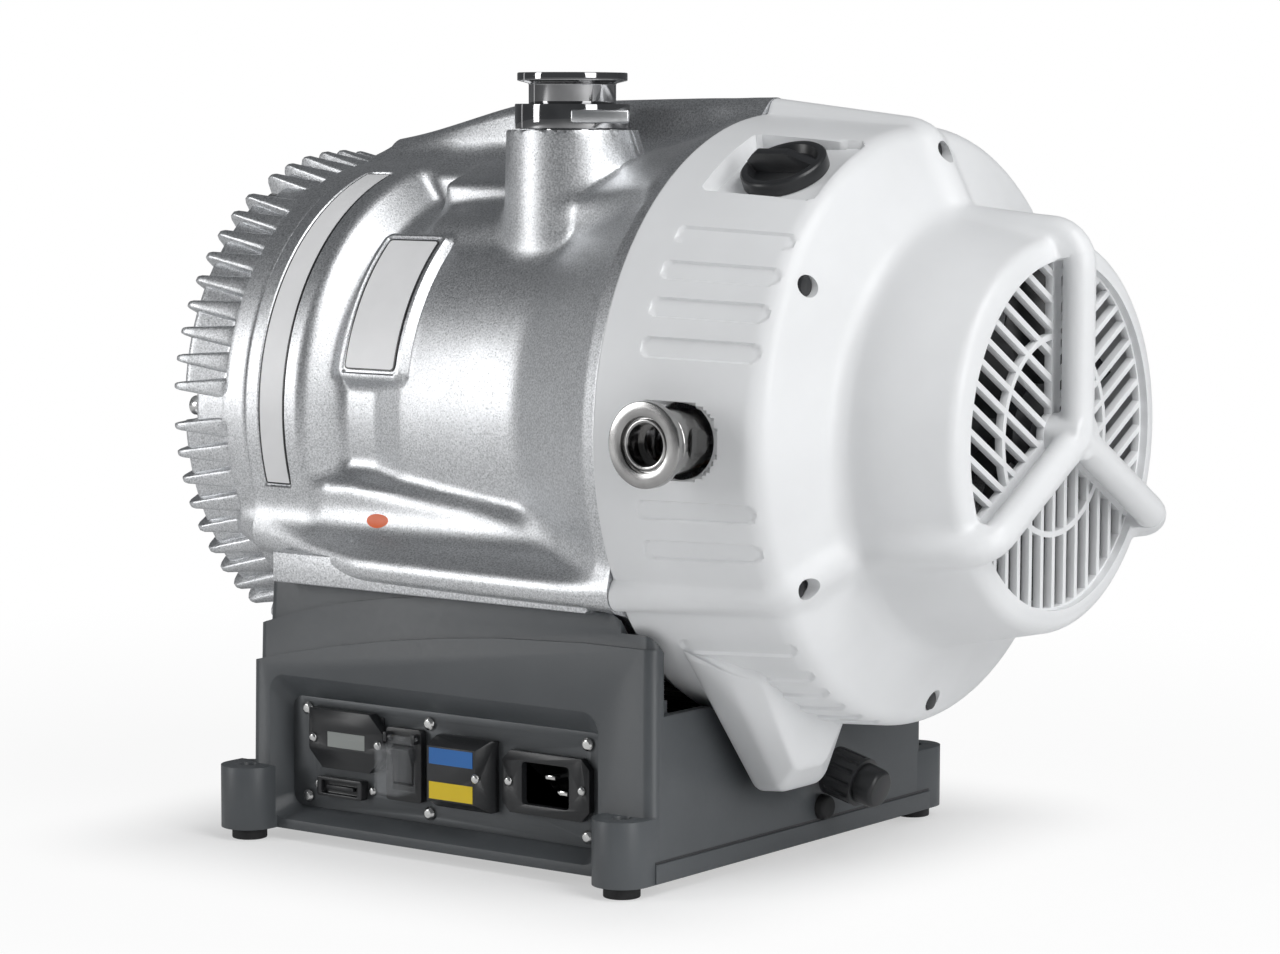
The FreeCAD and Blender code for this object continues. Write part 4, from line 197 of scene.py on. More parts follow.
class Bench(Wiring):
    """Builds one node material."""

    def __init__(self, name: str) -> None:
        """Start a material that holds a Principled shader and its output.

        Args:
            name: Its name.
        """
        self.material = bpy.data.materials.new(name)
        self.material.use_nodes = True
        super().__init__(self.material.node_tree)
        self.shader = self.node("ShaderNodeBsdfPrincipled")
        self.output = self.node("ShaderNodeOutputMaterial", None, {0: self.shader})

    def place(self, scale: Point = (1.0, 1.0, 1.0), move_m: Point = (0.0, 0.0, 0.0)) -> Node:
        """Return Object coordinates, moved and then stretched."""
        moved = self.vectors("ADD", self.node("ShaderNodeTexCoord").outputs["Object"], move_m)
        return self.node("ShaderNodeMapping", None, {"Vector": moved, "Scale": scale})

    def noise(self, scale: float, detail: float, vector: Node | None = None, roughness: float = 0.5) -> Maths:
        """Return noise.

        Args:
            scale: Its cycles a metre.
            detail: Its octaves.
            vector: The coordinates, where they aren't the Object's.
            roughness: The weight of its finer octaves.

        Returns:
            The noise, mostly between 0.3 and 0.7.
        """
        return Maths(self, self.node("ShaderNodeTexNoise", None, {
            "Vector": vector or self.place(), "Scale": scale, "Detail": detail, "Roughness": roughness}))

    def cells(self, scale: float) -> Maths:
        """Return the distance from the nearest point of a random grid, at a scale in cycles a metre."""
        return Maths(self, self.node("ShaderNodeTexVoronoi", {"feature": "F1"},
                                     {"Vector": self.place(), "Scale": scale}))

    def blend(self, share: Maths | float, first: object, second: object) -> Socket:
        """Mix two colours by a share."""
        return self.node("ShaderNodeMix", {"data_type": "RGBA"}, {0: share, 6: first, 7: second}).outputs[2]

    def bump(self, height: Maths, depth_mm: float) -> Node:
        """Return a normal from a height between 0 and 1 that is depth_mm deep."""
        return self.node("ShaderNodeBump", None, {"Height": height, "Distance": depth_mm * MM, "Strength": 1.0})

    def finish(self, inputs: dict) -> Material:
        """Feed the Principled shader and return the material."""
        for key, value in inputs.items():
            self.feed(self.shader.inputs[key], value)
        return self.material


@dataclass(frozen=True)
class Finish:
    """Base of the finishes: a name and a colour."""

    name: str
    colour: Point

    def make(self) -> Material:
        """Build the material."""
        bench = Bench(self.name)
        return bench.finish(self.feeds(bench))

    def feeds(self, b: Bench) -> dict:
        """Build what the shader reads.

        Args:
            b: The material's bench.

        Returns:
            What feeds each of the shader's sockets, by its name.
        """
        raise NotImplementedError

    def shade(self, factor: float, lift: float = 0.0) -> tuple:
        """Return the colour times a factor, with a lift."""
        return tuple(value * factor + lift for value in self.colour)


@dataclass(frozen=True)
class BlastedCasting(Finish):
    """Bright cast metal with the fine grain that blasting leaves, duller in its hollows."""

    dark: Point = (0.36, 0.37, 0.38)
    grain: float = 1100.0
    depth_mm: float = 0.09
    roughness: float = 0.42

    def feeds(self, b: Bench) -> dict:
        """Build the grain, its pits and a soft cloud.

        Args:
            b: The material's bench.

        Returns:
            What feeds each of the shader's sockets.
        """
        grain = b.noise(self.grain, 3.0, roughness=0.65)
        pits = 1.0 - b.cells(self.grain * 0.62).step(0.08, 0.42)
        cloud = b.noise(26.0, 3.0)
        dull = (pits * 0.4 + (1.0 - grain.step(0.40, 0.62)) * 0.55 + cloud.swing(0.35)).clamp(0.0, 1.0)
        return {"Base Color": b.blend(dull, self.colour, self.dark), "Metallic": 1.0,
                "Roughness": grain.swing(0.3) + cloud.swing(0.12) + self.roughness,
                "Normal": b.bump(grain * 0.75 - pits * 0.35, self.depth_mm)}


@dataclass(frozen=True)
class TurnedMetal(Finish):
    """Machined metal with fine rings about an upright or a level axis."""

    axis: Axis = Axis.Z
    centre_mm: Point = (0.0, 0.0, 0.0)
    roughness: float = 0.2
    ring_depth_mm: float = 0.006
    smear: float = 0.05
    rings_a_metre: float = 2600.0

    def feeds(self, b: Bench) -> dict:
        """Build the rings and a faint stain.

        Args:
            b: The material's bench.

        Returns:
            What feeds each of the shader's sockets.
        """
        place = b.place(move_m=tuple(-value * MM for value in self.centre_mm))
        flat = b.vectors("MULTIPLY", place, tuple(1.0 - part for part in self.axis.value))
        path = b.measure("LENGTH", flat) + b.measure("DOT_PRODUCT", place, self.axis.value)
        rings = b.noise(1.0, 2.0, b.node("ShaderNodeCombineXYZ", None, {0: path * self.rings_a_metre}))
        stain = b.noise(60.0, 3.0)
        return {"Base Color": b.blend(stain.step(0.35, 0.75), self.colour, self.shade(0.72)), "Metallic": 1.0,
                "Roughness": rings.swing(0.12) + stain.swing(self.smear) + self.roughness,
                "Normal": b.bump(rings, self.ring_depth_mm)}


@dataclass(frozen=True)
class BrushedSheet(Finish):
    """Sheet or bar metal with fine lines along one axis."""

    axis: Axis = Axis.X
    roughness: float = 0.32
    metallic: float = 1.0

    def feeds(self, b: Bench) -> dict:
        """Build the lines and a soft cloud.

        Args:
            b: The material's bench.

        Returns:
            What feeds each of the shader's sockets.
        """
        lines = b.noise(1.0, 2.0, b.place(tuple(40.0 if part else 2400.0 for part in self.axis.value)))
        cloud = b.noise(45.0, 3.0)
        return {"Base Color": b.blend(lines * 0.5 + cloud * 0.5, self.colour, self.shade(0.78)),
                "Metallic": self.metallic, "Roughness": lines.swing(0.16) + cloud.swing(0.08) + self.roughness,
                "Normal": b.bump(lines, 0.008)}


@dataclass(frozen=True)
class Moulding(Finish):
    """Moulded plastic with a fine spark-eroded grain and faint handling marks."""

    roughness: float = 0.42
    grain: float = 2200.0
    depth_mm: float = 0.012
    drift: float = 0.06

    def feeds(self, b: Bench) -> dict:
        """Build the grain, a cloud and rubbed spots.

        Args:
            b: The material's bench.

        Returns:
            What feeds each of the shader's sockets.
        """
        grain = b.noise(self.grain, 2.0)
        cloud = b.noise(14.0, 4.0)
        rub = b.noise(90.0, 5.0, roughness=0.6).step(0.55, 0.75)
        return {"Base Color": b.blend(cloud.step(0.3, 0.7), self.colour, self.shade(1.0 - self.drift)),
                "Roughness": grain.swing(0.08) + rub * 0.05 + cloud.swing(0.06) + self.roughness,
                "Normal": b.bump(grain, self.depth_mm)}


@dataclass(frozen=True)
class TexturedPaint(Finish):
    """Dark paint on a casting: low orange peel, fine texture, a little dust in the open."""

    roughness: float = 0.44
    peel_mm: float = 0.03

    def feeds(self, b: Bench) -> dict:
        """Build the peel, the texture and the dust.

        Args:
            b: The material's bench.

        Returns:
            What feeds each of the shader's sockets.
        """
        peel = b.noise(420.0, 2.0)
        fine = b.noise(1800.0, 2.0)
        cloud = b.noise(18.0, 4.0)
        dust = cloud.step(0.35, 0.8) * 0.7 + fine * 0.2
        return {"Base Color": b.blend(dust, self.colour, self.shade(1.22)),
                "Roughness": peel.swing(0.10) + cloud.swing(0.10) + self.roughness,
                "Normal": b.bump(peel * 0.75 + fine * 0.35, self.peel_mm)}


@dataclass(frozen=True)
class RubberSkin(Finish):
    """Matt rubber or a soft seal, with a dull bloom."""

    roughness: float = 0.72

    def feeds(self, b: Bench) -> dict:
        """Build the bloom and a fine grain."""
        bloom = b.noise(120.0, 4.0)
        return {"Base Color": b.blend(bloom.step(0.5, 0.8), self.colour, self.shade(1.8, 0.01)),
                "Roughness": bloom.swing(0.15) + self.roughness, "Normal": b.bump(b.noise(2600.0, 2.0), 0.02)}


@dataclass(frozen=True)
class ClearPart(Finish):
    """Clear or tinted moulding that lets the parts behind it show."""

    opacity: float = 0.3
    roughness: float = 0.08

    def feeds(self, b: Bench) -> dict:
        """Build the haze and fine scratches.

        Args:
            b: The material's bench.

        Returns:
            What feeds each of the shader's sockets.
        """
        haze = b.noise(150.0, 4.0)
        scratch = b.noise(1.0, 3.0, b.place((60.0, 900.0, 900.0))).step(0.62, 0.7)
        return {"Base Color": b.blend(haze, self.colour, self.shade(0.9)),
                "Roughness": haze * 0.06 + scratch * 0.1 + self.roughness,
                "Alpha": (haze * 0.08 + scratch * 0.1 + self.opacity).clamp(0.0, 1.0),
                "Normal": b.bump(haze, 0.02), "Coat Weight": 0.5}


@dataclass(frozen=True)
class WoundCopper(Finish):
    """Varnished copper wire wound about the shaft, with steel sheets between."""

    def feeds(self, b: Bench) -> dict:
        """Build the wires."""
        wires = b.noise(1.0, 1.0, b.place((900.0, 90.0, 90.0)))
        return {"Base Color": b.blend(wires.step(0.42, 0.56), self.colour, self.shade(0.35)), "Metallic": 0.85,
                "Roughness": wires * 0.2 + 0.3, "Normal": b.bump(wires, 0.25)}


@dataclass(frozen=True)
class PrintedPatch(Finish):
    """Bare coloured label with a satin film."""

    roughness: float = 0.34

    def feeds(self, b: Bench) -> dict:
        """Build the film and a faint cloud."""
        film = b.noise(500.0, 2.0)
        return {"Base Color": b.blend(b.noise(70.0, 3.0), self.colour, self.shade(0.9)),
                "Roughness": film.swing(0.08) + self.roughness, "Normal": b.bump(film, 0.01)}


ON_SHAFT = (0.0, 0.0, SHAFT_Z)
FINISHES: dict[str, Finish] = {
    "cast_aluminium": BlastedCasting("Blasted_Cast_Aluminium", (0.80, 0.81, 0.825)),
    "machined_aluminium": BrushedSheet("Machined_Aluminium", (0.80, 0.81, 0.83)),
    "clear_anodised": TurnedMetal("Anodised_Collar", (0.80, 0.81, 0.82), Axis.Z, INLET_MM, 0.3, 0.01),
    "nickel_steel": TurnedMetal("Turned_Inlet_Steel", (0.72, 0.715, 0.70), Axis.Z, INLET_MM, 0.13),
    "zinc_steel": TurnedMetal("Zinc_Fasteners", (0.74, 0.74, 0.73), Axis.Y, (0.0, 0.0, 0.0), 0.24, 0.004),
    "ground_steel": TurnedMetal("Ground_Shaft_Steel", (0.62, 0.62, 0.64), Axis.X, ON_SHAFT),
    "bearing_steel": TurnedMetal("Bearing_Steel", (0.68, 0.68, 0.70), Axis.X, ON_SHAFT, 0.14),
    "bellows_steel": BrushedSheet("Thin_Bright_Sheet", (0.72, 0.72, 0.74), Axis.X, 0.2),
    "panel_steel": BrushedSheet("Satin_Panel_Sheet", (0.10, 0.107, 0.113), Axis.X, 0.42, 0.35),
    "copper_pipe": TurnedMetal("Drawn_Pipe", (0.80, 0.50, 0.34), Axis.Z, (EXHAUST_MM[0], 0.0, SHAFT_Z), 0.28),
    "windings": WoundCopper("Varnished_Windings", (0.60, 0.30, 0.15)),
    "cowl_plastic": Moulding("Off_White_Moulding", (0.84, 0.85, 0.86), 0.38),
    "black_plastic": Moulding("Black_Moulding", (0.022, 0.023, 0.025), 0.34, 2400.0, 0.014, 0.2),
    "base_paint": TexturedPaint("Dark_Grey_Paint", (0.080, 0.087, 0.093), 0.42),
    "dark_rubber": RubberSkin("Matt_Rubber", (0.02, 0.02, 0.021)),
    "seal": RubberSkin("Filled_Seal", (0.20, 0.19, 0.17), 0.55),
    "window": ClearPart("Display_Window", (0.34, 0.36, 0.345), 0.92, 0.06),
    "clear_cover": ClearPart("Clear_Cover", (0.60, 0.62, 0.64), 0.05, 0.06),
    # Finishes of single pieces, which aren't the record's slots
    "exhaust_steel": TurnedMetal("Turned_Exhaust_Steel", (0.42, 0.415, 0.41), Axis.Y, EXHAUST_MM, 0.17),
    "polished_inlet": TurnedMetal("Polished_Inlet_Steel", (0.34, 0.34, 0.345), Axis.Z, INLET_MM, 0.06, 0.002, 0.02),
    "dark_screw": Moulding("Blackened_Screw", (0.03, 0.031, 0.033), 0.35),
    "blue_patch": PrintedPatch("Blue_Patch", (0.02, 0.16, 0.50)),
    "yellow_patch": PrintedPatch("Yellow_Patch", (0.86, 0.62, 0.01)),
    "orange_dot": PrintedPatch("Orange_Dot", (0.88, 0.13, 0.01)),
    "pale_plate": PrintedPatch("Pale_Plate", (0.96, 0.96, 0.965)),
    # Black print for the plates' borders, also used as painted shadow in the base's seam
    "dark_border_and_seam_shadow": PrintedPatch("Dark_Border_And_Seam_Shadow", (0.03, 0.03, 0.033)),
    "bolt_steel": TurnedMetal("Bolt_Steel", (0.66, 0.66, 0.65), Axis.X, ON_SHAFT, 0.25, 0.004),
}


class Workshop:
    """Keeps the materials and hands finished meshes to the frame."""

    def __init__(self) -> None:
        """Build every finish once."""
        self.materials = {key: finish.make() for key, finish in FINISHES.items()}
        self.node_slot = {part["node"]: part["material_slot"] for part in frame["record"]["subparts"]}

    def add(self, name: str, mesh: Mesh, slot: str = "cast_aluminium", finish: str | None = None,
            replaces: tuple = (), body: str = "pump") -> bpy.types.Object:
        """Show a finished mesh as a piece.

        Args:
            name: The piece's name.
            mesh: The mesh, in place.
            slot: The record's material slot.
            finish: The finish, where it isn't the slot's own.
            replaces: The CAD nodes it stands for.
            body: The CAD body it rides on.

        Returns:
            The new object.
        """
        mesh.name = name
        piece = bpy.data.objects.new(name, mesh)
        bpy.context.scene.collection.objects.link(piece)
        mesh.materials.clear()
        mesh.materials.append(self.materials[finish or slot])
        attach(piece, body)
        if replaces:
            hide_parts(*replaces)
        log.info("%s: %d faces on %s", name, len(mesh.polygons), body)
        return piece


# Meshes
def mesh_of(points: list | Array, faces: list, turn_out: bool = True) -> Mesh:
    """Return a mesh.

    Args:
        points: Its points, in millimetres.
        faces: Its faces.
        turn_out: True turns the faces outwards.

    Returns:
        The mesh, in metres.
    """
    mesh = bpy.data.meshes.new("piece")
    mesh.from_pydata((np.array(points) * MM).tolist(), [], faces)
    if turn_out:
        bm = bmesh.new()
        bm.from_mesh(mesh)
        bmesh.ops.recalc_face_normals(bm, faces=bm.faces)
        bm.to_mesh(mesh)
        bm.free()
    return mesh


def modified(mesh: Mesh, *steps: tuple[str, dict]) -> Mesh:
    """Run modifiers on a mesh and remove it.

    Args:
        mesh: The mesh that goes in.
        steps: Each modifier's type with its settings, and a tree's inputs by their identifiers.

    Returns:
        The plain mesh that comes out.
    """
    holder = bpy.data.objects.new("holder", mesh)
    bpy.context.scene.collection.objects.link(holder)
    for kind, settings in steps:
        step = holder.modifiers.new(kind, kind)
        for key, value in settings.items():
            if key in step.bl_rna.properties:
                setattr(step, key, value)
            else:
                step[key] = value
    graph = bpy.context.evaluated_depsgraph_get()
    graph.update()
    result = bpy.data.meshes.new_from_object(holder.evaluated_get(graph), depsgraph=graph)
    bpy.data.objects.remove(holder)
    bpy.data.meshes.remove(mesh)
    return result


def smooth_by_angle(mesh: Mesh, angle: float) -> Mesh:
    """Shade a mesh smooth, but for its sharp edges.

    Args:
        mesh: The mesh.
        angle: The angle in degrees above which an edge is sharp.

    Returns:
        The same mesh.
    """
    mesh.polygons.foreach_set("use_smooth", [True] * len(mesh.polygons))
    bm = bmesh.new()
    bm.from_mesh(mesh)
    for edge in bm.edges:
        edge.smooth = len(edge.link_faces) == 2 and edge.calc_face_angle(0.0) < math.radians(angle)
    bm.to_mesh(mesh)
    bm.free()
    return mesh


def grid_mesh(points: Array, rows: int, columns: int, looped: bool) -> Mesh:
    """Build a mesh from a grid whose columns go right round.

    Args:
        points: Corner points, row by row.
        rows: The number of rows.
        columns: The number of columns.
        looped: True joins the last row to the first; False closes the first and last row with a point each.

    Returns:
        The mesh, with its faces turned outwards.
    """
    j = np.arange(columns)
    after = (j + 1) % columns
    faces = []
    for i in range(rows if looped else rows - 1):
        a, b = i * columns, (i + 1) % rows * columns
        faces += [tuple(face) for face in np.stack([a + j, a + after, b + after, b + j], axis=1).tolist()]
    poles = []
    if not looped:
        for row, way in ((0, 1), (rows - 1, -1)):
            first = row * columns
            centre = len(points) + len(poles)
            poles.append(points[first:first + columns].mean(0))
            faces += [(centre, first + b, first + a)[::way] for a, b in zip(j.tolist(), after.tolist())]
    return mesh_of(np.vstack([points, *poles]), faces)


def tube_of_rows(points: list, columns: int) -> Mesh:
    """Return a closed mesh from rings of points, with a flat end at either side.

    Args:
        points: The points, ring by ring.
        columns: The points in a ring.

    Returns:
        The mesh.
    """
    count = len(points) // columns
    faces = []
    for i in range(count - 1):
        for k in range(columns):
            a = i * columns + k
            b = i * columns + (k + 1) % columns
            faces.append((a, b, b + columns, a + columns))
    faces.append(tuple(reversed(range(columns))))
    faces.append(tuple(range((count - 1) * columns, count * columns)))
    return mesh_of(points, faces)


def at_turn(x: float, radius: float, turn: float) -> tuple:
    """Return the point at a station, a radius and a turn."""
    angle = math.radians(turn)
    return x, -radius * math.cos(angle), SHAFT_Z + radius * math.sin(angle)


def tube(points: list, faces: list, line: list, radius: float, sides: int) -> None:
    """Add a closed round tube to a mesh's lists.

    Args:
        points: The mesh's points.
        faces: The mesh's faces.
        line: The points of the tube's middle line.
        radius: The tube's radius.
        sides: Its steps right round.
    """
    middle = [Vector(p) for p in line]
    start = len(points)
    side = (middle[1] - middle[0]).normalized().orthogonal().normalized()
    for i, point in enumerate(middle):
        way = (middle[min(i + 1, len(middle) - 1)] - middle[max(i - 1, 0)]).normalized()
        side = (side - way * side.dot(way)).normalized()
        up = way.cross(side)
        for k in range(sides):
            angle = 2 * math.pi * k / sides
            points.append(tuple(point + (side * math.cos(angle) + up * math.sin(angle)) * radius))
    for i in range(len(middle) - 1):
        for k in range(sides):
            a = start + i * sides + k
            b = start + i * sides + (k + 1) % sides
            faces.append((a, b, b + sides, a + sides))
    faces.append(tuple(start + k for k in reversed(range(sides))))
    faces.append(tuple(start + (len(middle) - 1) * sides + k for k in range(sides)))


def drilled(mesh: Mesh, drills: list[tuple]) -> Mesh:
    """Cut round holes in a mesh.

    Args:
        mesh: The mesh.
        drills: The (start, end, radius, sides) of each hole.

    Returns:
        The cut mesh.
    """
    cutters = []
    for start, end, radius, sides in drills:
        points: list = []
        faces: list = []
        tube(points, faces, [start, end], radius, sides)
        cutter = bpy.data.objects.new("cutter", mesh_of(points, faces, False))
        bpy.context.scene.collection.objects.link(cutter)
        cutters.append(cutter)
    result = modified(mesh, *(("BOOLEAN", {"operation": "DIFFERENCE", "solver": "EXACT", "object": cutter})
                              for cutter in cutters))
    for cutter in cutters:
        data = cutter.data
        bpy.data.objects.remove(cutter)
        bpy.data.meshes.remove(data)
    return result


def rounded_line(corners: tuple, steps: int = 7) -> Array:
    """Return points along an open line with rounded corners.

    Args:
        corners: The (u, v, radius) of each corner.
        steps: Steps in each rounding.

    Returns:
        The points.
    """
    points = []
    last = len(corners) - 1
    for i, (u, v, radius) in enumerate(corners):
        here = np.array((u, v))
        if i in (0, last) or radius <= 0:
            points.append(here)
            continue
        one = np.array(corners[i - 1][:2]) - here
        two = np.array(corners[i + 1][:2]) - here
        one = one / np.linalg.norm(one)
        two = two / np.linalg.norm(two)
        half = math.acos(max(-1.0, min(1.0, float(one @ two)))) / 2
        reach = radius / math.tan(half)
        centre = here + (one + two) / np.linalg.norm(one + two) * (radius / math.sin(half))
        first = here + one * reach - centre
        second = here + two * reach - centre
        for j in range(steps + 1):
            way = first * (1 - j / steps) + second * (j / steps)
            points.append(centre + way / np.linalg.norm(way) * radius)
    return np.array(points)


def rounded_loop(corners: tuple, steps: int) -> Array:
    """Return points round a closed outline of (u, v, radius) corners."""
    return rounded_line(corners[-1:] + corners + corners[:1], steps)[1:-1]


def smooth_line(points: tuple, steps: int = 6) -> Array:
    """Return a line through points with smooth curves between them.

    Args:
        points: The (u, v) points.
        steps: Steps between two of them.

    Returns:
        The line's points.
    """
    p = np.array(points, float)
    slope = np.empty(len(p))
    slope[1:-1] = (p[2:, 1] - p[:-2, 1]) / (p[2:, 0] - p[:-2, 0])
    slope[0] = (p[1, 1] - p[0, 1]) / (p[1, 0] - p[0, 0])
    slope[-1] = (p[-1, 1] - p[-2, 1]) / (p[-1, 0] - p[-2, 0])
    line = []
    for i in range(len(p) - 1):
        width = p[i + 1, 0] - p[i, 0]
        for s in (j / steps for j in range(steps)):
            height = (p[i, 1] * (1 + 2 * s) * (1 - s) ** 2 + slope[i] * width * s * (1 - s) ** 2
                      + p[i + 1, 1] * s * s * (3 - 2 * s) + slope[i + 1] * width * s * s * (s - 1))
            line.append((p[i, 0] + s * width, height))
    line.append(tuple(p[-1]))
    return np.array(line)


def lines_between(*parts: tuple | float, nearest: float = 0.12) -> Array:
    """Return sorted stops.

    Args:
        parts: (start, end, step) rows of stops, and single stops.
        nearest: Stops no further apart than this are one.

    Returns:
        The stops.
    """
    values = []
    for part in parts:
        if isinstance(part, tuple):
            start, end, step = part
            values.extend(np.linspace(start, end, max(2, int(round((end - start) / step)) + 1)).tolist())
        else:
            values.append(part)
    values.sort()
    kept = [values[0]]
    for value in values[1:]:
        if value - kept[-1] > nearest:
            kept.append(value)
    return np.array(kept)


def fan_of_rays(centre: tuple, path: Array, *parts: tuple) -> list:
    """Return rays from one point to stops along a path.

    Args:
        centre: The station and radius of the point.
        path: The path's points.
        parts: (start, end, step) of the stops, in the length walked along the path; None is the path's end.

    Returns:
        The rays, each a start and a direction in the plane of (x, radius).
    """
    walked = np.concatenate([[0.0], np.cumsum(np.linalg.norm(np.diff(path, axis=0), axis=1))])
    stops = lines_between(*((start, walked[-1] if end is None else end, step) for start, end, step in parts))
    aims = np.stack([np.interp(stops, walked, path[:, i]) for i in (0, 1)], axis=1)
    ways = (aims - centre) / np.linalg.norm(aims - centre, axis=1)[:, None]
    return [(*centre, *way) for way in ways]


# Implicit forms
def soft_min(first: Array, second: Array, radius: float) -> Array:
    """Join two distance fields with a fillet of about the radius."""
    share = np.clip(0.5 + 0.5 * (second - first) / radius, 0.0, 1.0)
    return second + (first - second) * share - radius * share * (1.0 - share)


def soft_max(first: Array, second: Array, radius: float) -> Array:
    """Keep what two distance fields share, with a rounding of about the radius."""
    return -soft_min(-first, -second, radius)


def carve(solid: Array, hole: Array, radius: float) -> Array:
    """Take a hole out of a solid."""
    return soft_max(solid, -hole, radius)


def rounded_box(u: Array, v: Array, half_u: float, half_v: float, radius: float) -> Array:
    """Return the distance to a rectangle with rounded corners.

    Args:
        u: One coordinate from its centre.
        v: The other coordinate.
        half_u: Half its length along u.
        half_v: Half its length along v.
        radius: The corners' radius.

    Returns:
        The distance, negative inside.
    """
    a = np.abs(u) - half_u + radius
    b = np.abs(v) - half_v + radius
    return np.hypot(np.maximum(a, 0.0), np.maximum(b, 0.0)) + np.minimum(np.maximum(a, b), 0.0) - radius


def angle_from(turn: Array, centre: float) -> Array:
    """Return signed degrees from a turn, between -180 and 180."""
    return (turn - centre + 180.0) % 360.0 - 180.0


def in_plane(y: Array, z: Array, turn: float) -> tuple:
    """Return the height along a turn's radial direction, and the distance to its side."""
    c, s = math.cos(math.radians(turn)), math.sin(math.radians(turn))
    return -y * c + z * s, y * s + z * c


class ProfileField:
    """Signed distance to the region inside an outline in the plane of (x, radius), kept on a fine grid."""

    def __init__(self, outline: Array, step: float = 0.5, margin: float = 34.0) -> None:
        """Fill the grid.

        Args:
            outline: Points of the closed outline.
            step: The grid's spacing.
            margin: How far the grid reaches past the outline.
        """
        self.step = step
        self.low = outline.min(0) - margin
        high = outline.max(0) + margin
        x, r = np.meshgrid(np.arange(self.low[0], high[0], step), np.arange(self.low[1], high[1], step),
                           indexing="ij")
        nearest = np.full(x.shape, 1e9)
        inside = np.zeros(x.shape, bool)
        for a, b in zip(outline, np.roll(outline, -1, axis=0)):
            edge = b - a
            length = float(edge @ edge)
            if length < 1e-12:
                continue
            share = np.clip(((x - a[0]) * edge[0] + (r - a[1]) * edge[1]) / length, 0.0, 1.0)
            nearest = np.minimum(nearest, (x - a[0] - share * edge[0]) ** 2 + (r - a[1] - share * edge[1]) ** 2)
            if a[1] != b[1]:
                inside ^= ((a[1] > r) != (b[1] > r)) & (x < (r - a[1]) * edge[0] / edge[1] + a[0])
        self.values = np.sqrt(nearest) * np.where(inside, -1.0, 1.0)

    def __call__(self, x: Array, r: Array) -> Array:
        """Read the distance between the grid's points.

        Args:
            x: Stations.
            r: Radii.

        Returns:
            The distances.
        """
        u = np.clip((x - self.low[0]) / self.step, 0, self.values.shape[0] - 1.001)
        v = np.clip((r - self.low[1]) / self.step, 0, self.values.shape[1] - 1.001)
        i, j = u.astype(int), v.astype(int)
        a, b = u - i, v - j
        g = self.values
        return ((g[i, j] * (1 - b) + g[i, j + 1] * b) * (1 - a)
                + (g[i + 1, j] * (1 - b) + g[i + 1, j + 1] * b) * a)


class Form:
    """A solid that is given by the distance to its outside."""

    def distance(self, x: Array, y: Array, z: Array) -> Array:
        """Return the distance to the outside.

        Args:
            x: Stations.
            y: Depths.
            z: Heights above the shaft line.

        Returns:
            The distances, negative inside.
        """
        raise NotImplementedError


@dataclass
class Ridge(Form):
    """Round bar along a line in one radial plane, filled in below it."""

    field: ProfileField
    half: float
    turn: float

    def distance(self, x: Array, y: Array, z: Array) -> Array:
        """Return the distance to the bar."""
        up, side = in_plane(y, z, self.turn)
        return np.hypot(side, np.maximum(self.field(x, up), 0.0)) - self.half


def three_bars(line: Array, half: float, foot: float = -20.0) -> list[Ridge]:
    """Return the bar at each of the three turns.

    Args:
        line: The points of its middle line in the plane of (x, radius).
        half: Its radius.
        foot: The radius down to which it is filled in.

    Returns:
        The bars.
    """
    below = ProfileField(np.vstack([line, [(line[-1][0], foot), (line[0][0], foot)]]))
    return [Ridge(below, half, turn) for turn in BAR_TURNS]


@dataclass(frozen=True)
class Patch:
    """Rectangle laid round the shaft: its middle, its half lengths along X and in turn, and its radius."""

    x: float
    half_x: float
    turn: float
    half_turn: float
    radius: float

    def sides(self, x: Array, turn: Array, arc: Array | float, corner: float, inset: float = 0.0) -> Array:
        """Return the distance to its sides.

        Args:
            x: Stations.
            turn: Turns.
            arc: The length of one degree at each point.
            corner: The corners' radius.
            inset: How much smaller it is all round.

        Returns:
            The distance, negative between the sides.
        """
        return rounded_box(x - self.x, angle_from(turn, self.turn) * arc, self.half_x - inset,
                           self.half_turn * math.radians(self.radius) - inset, corner)


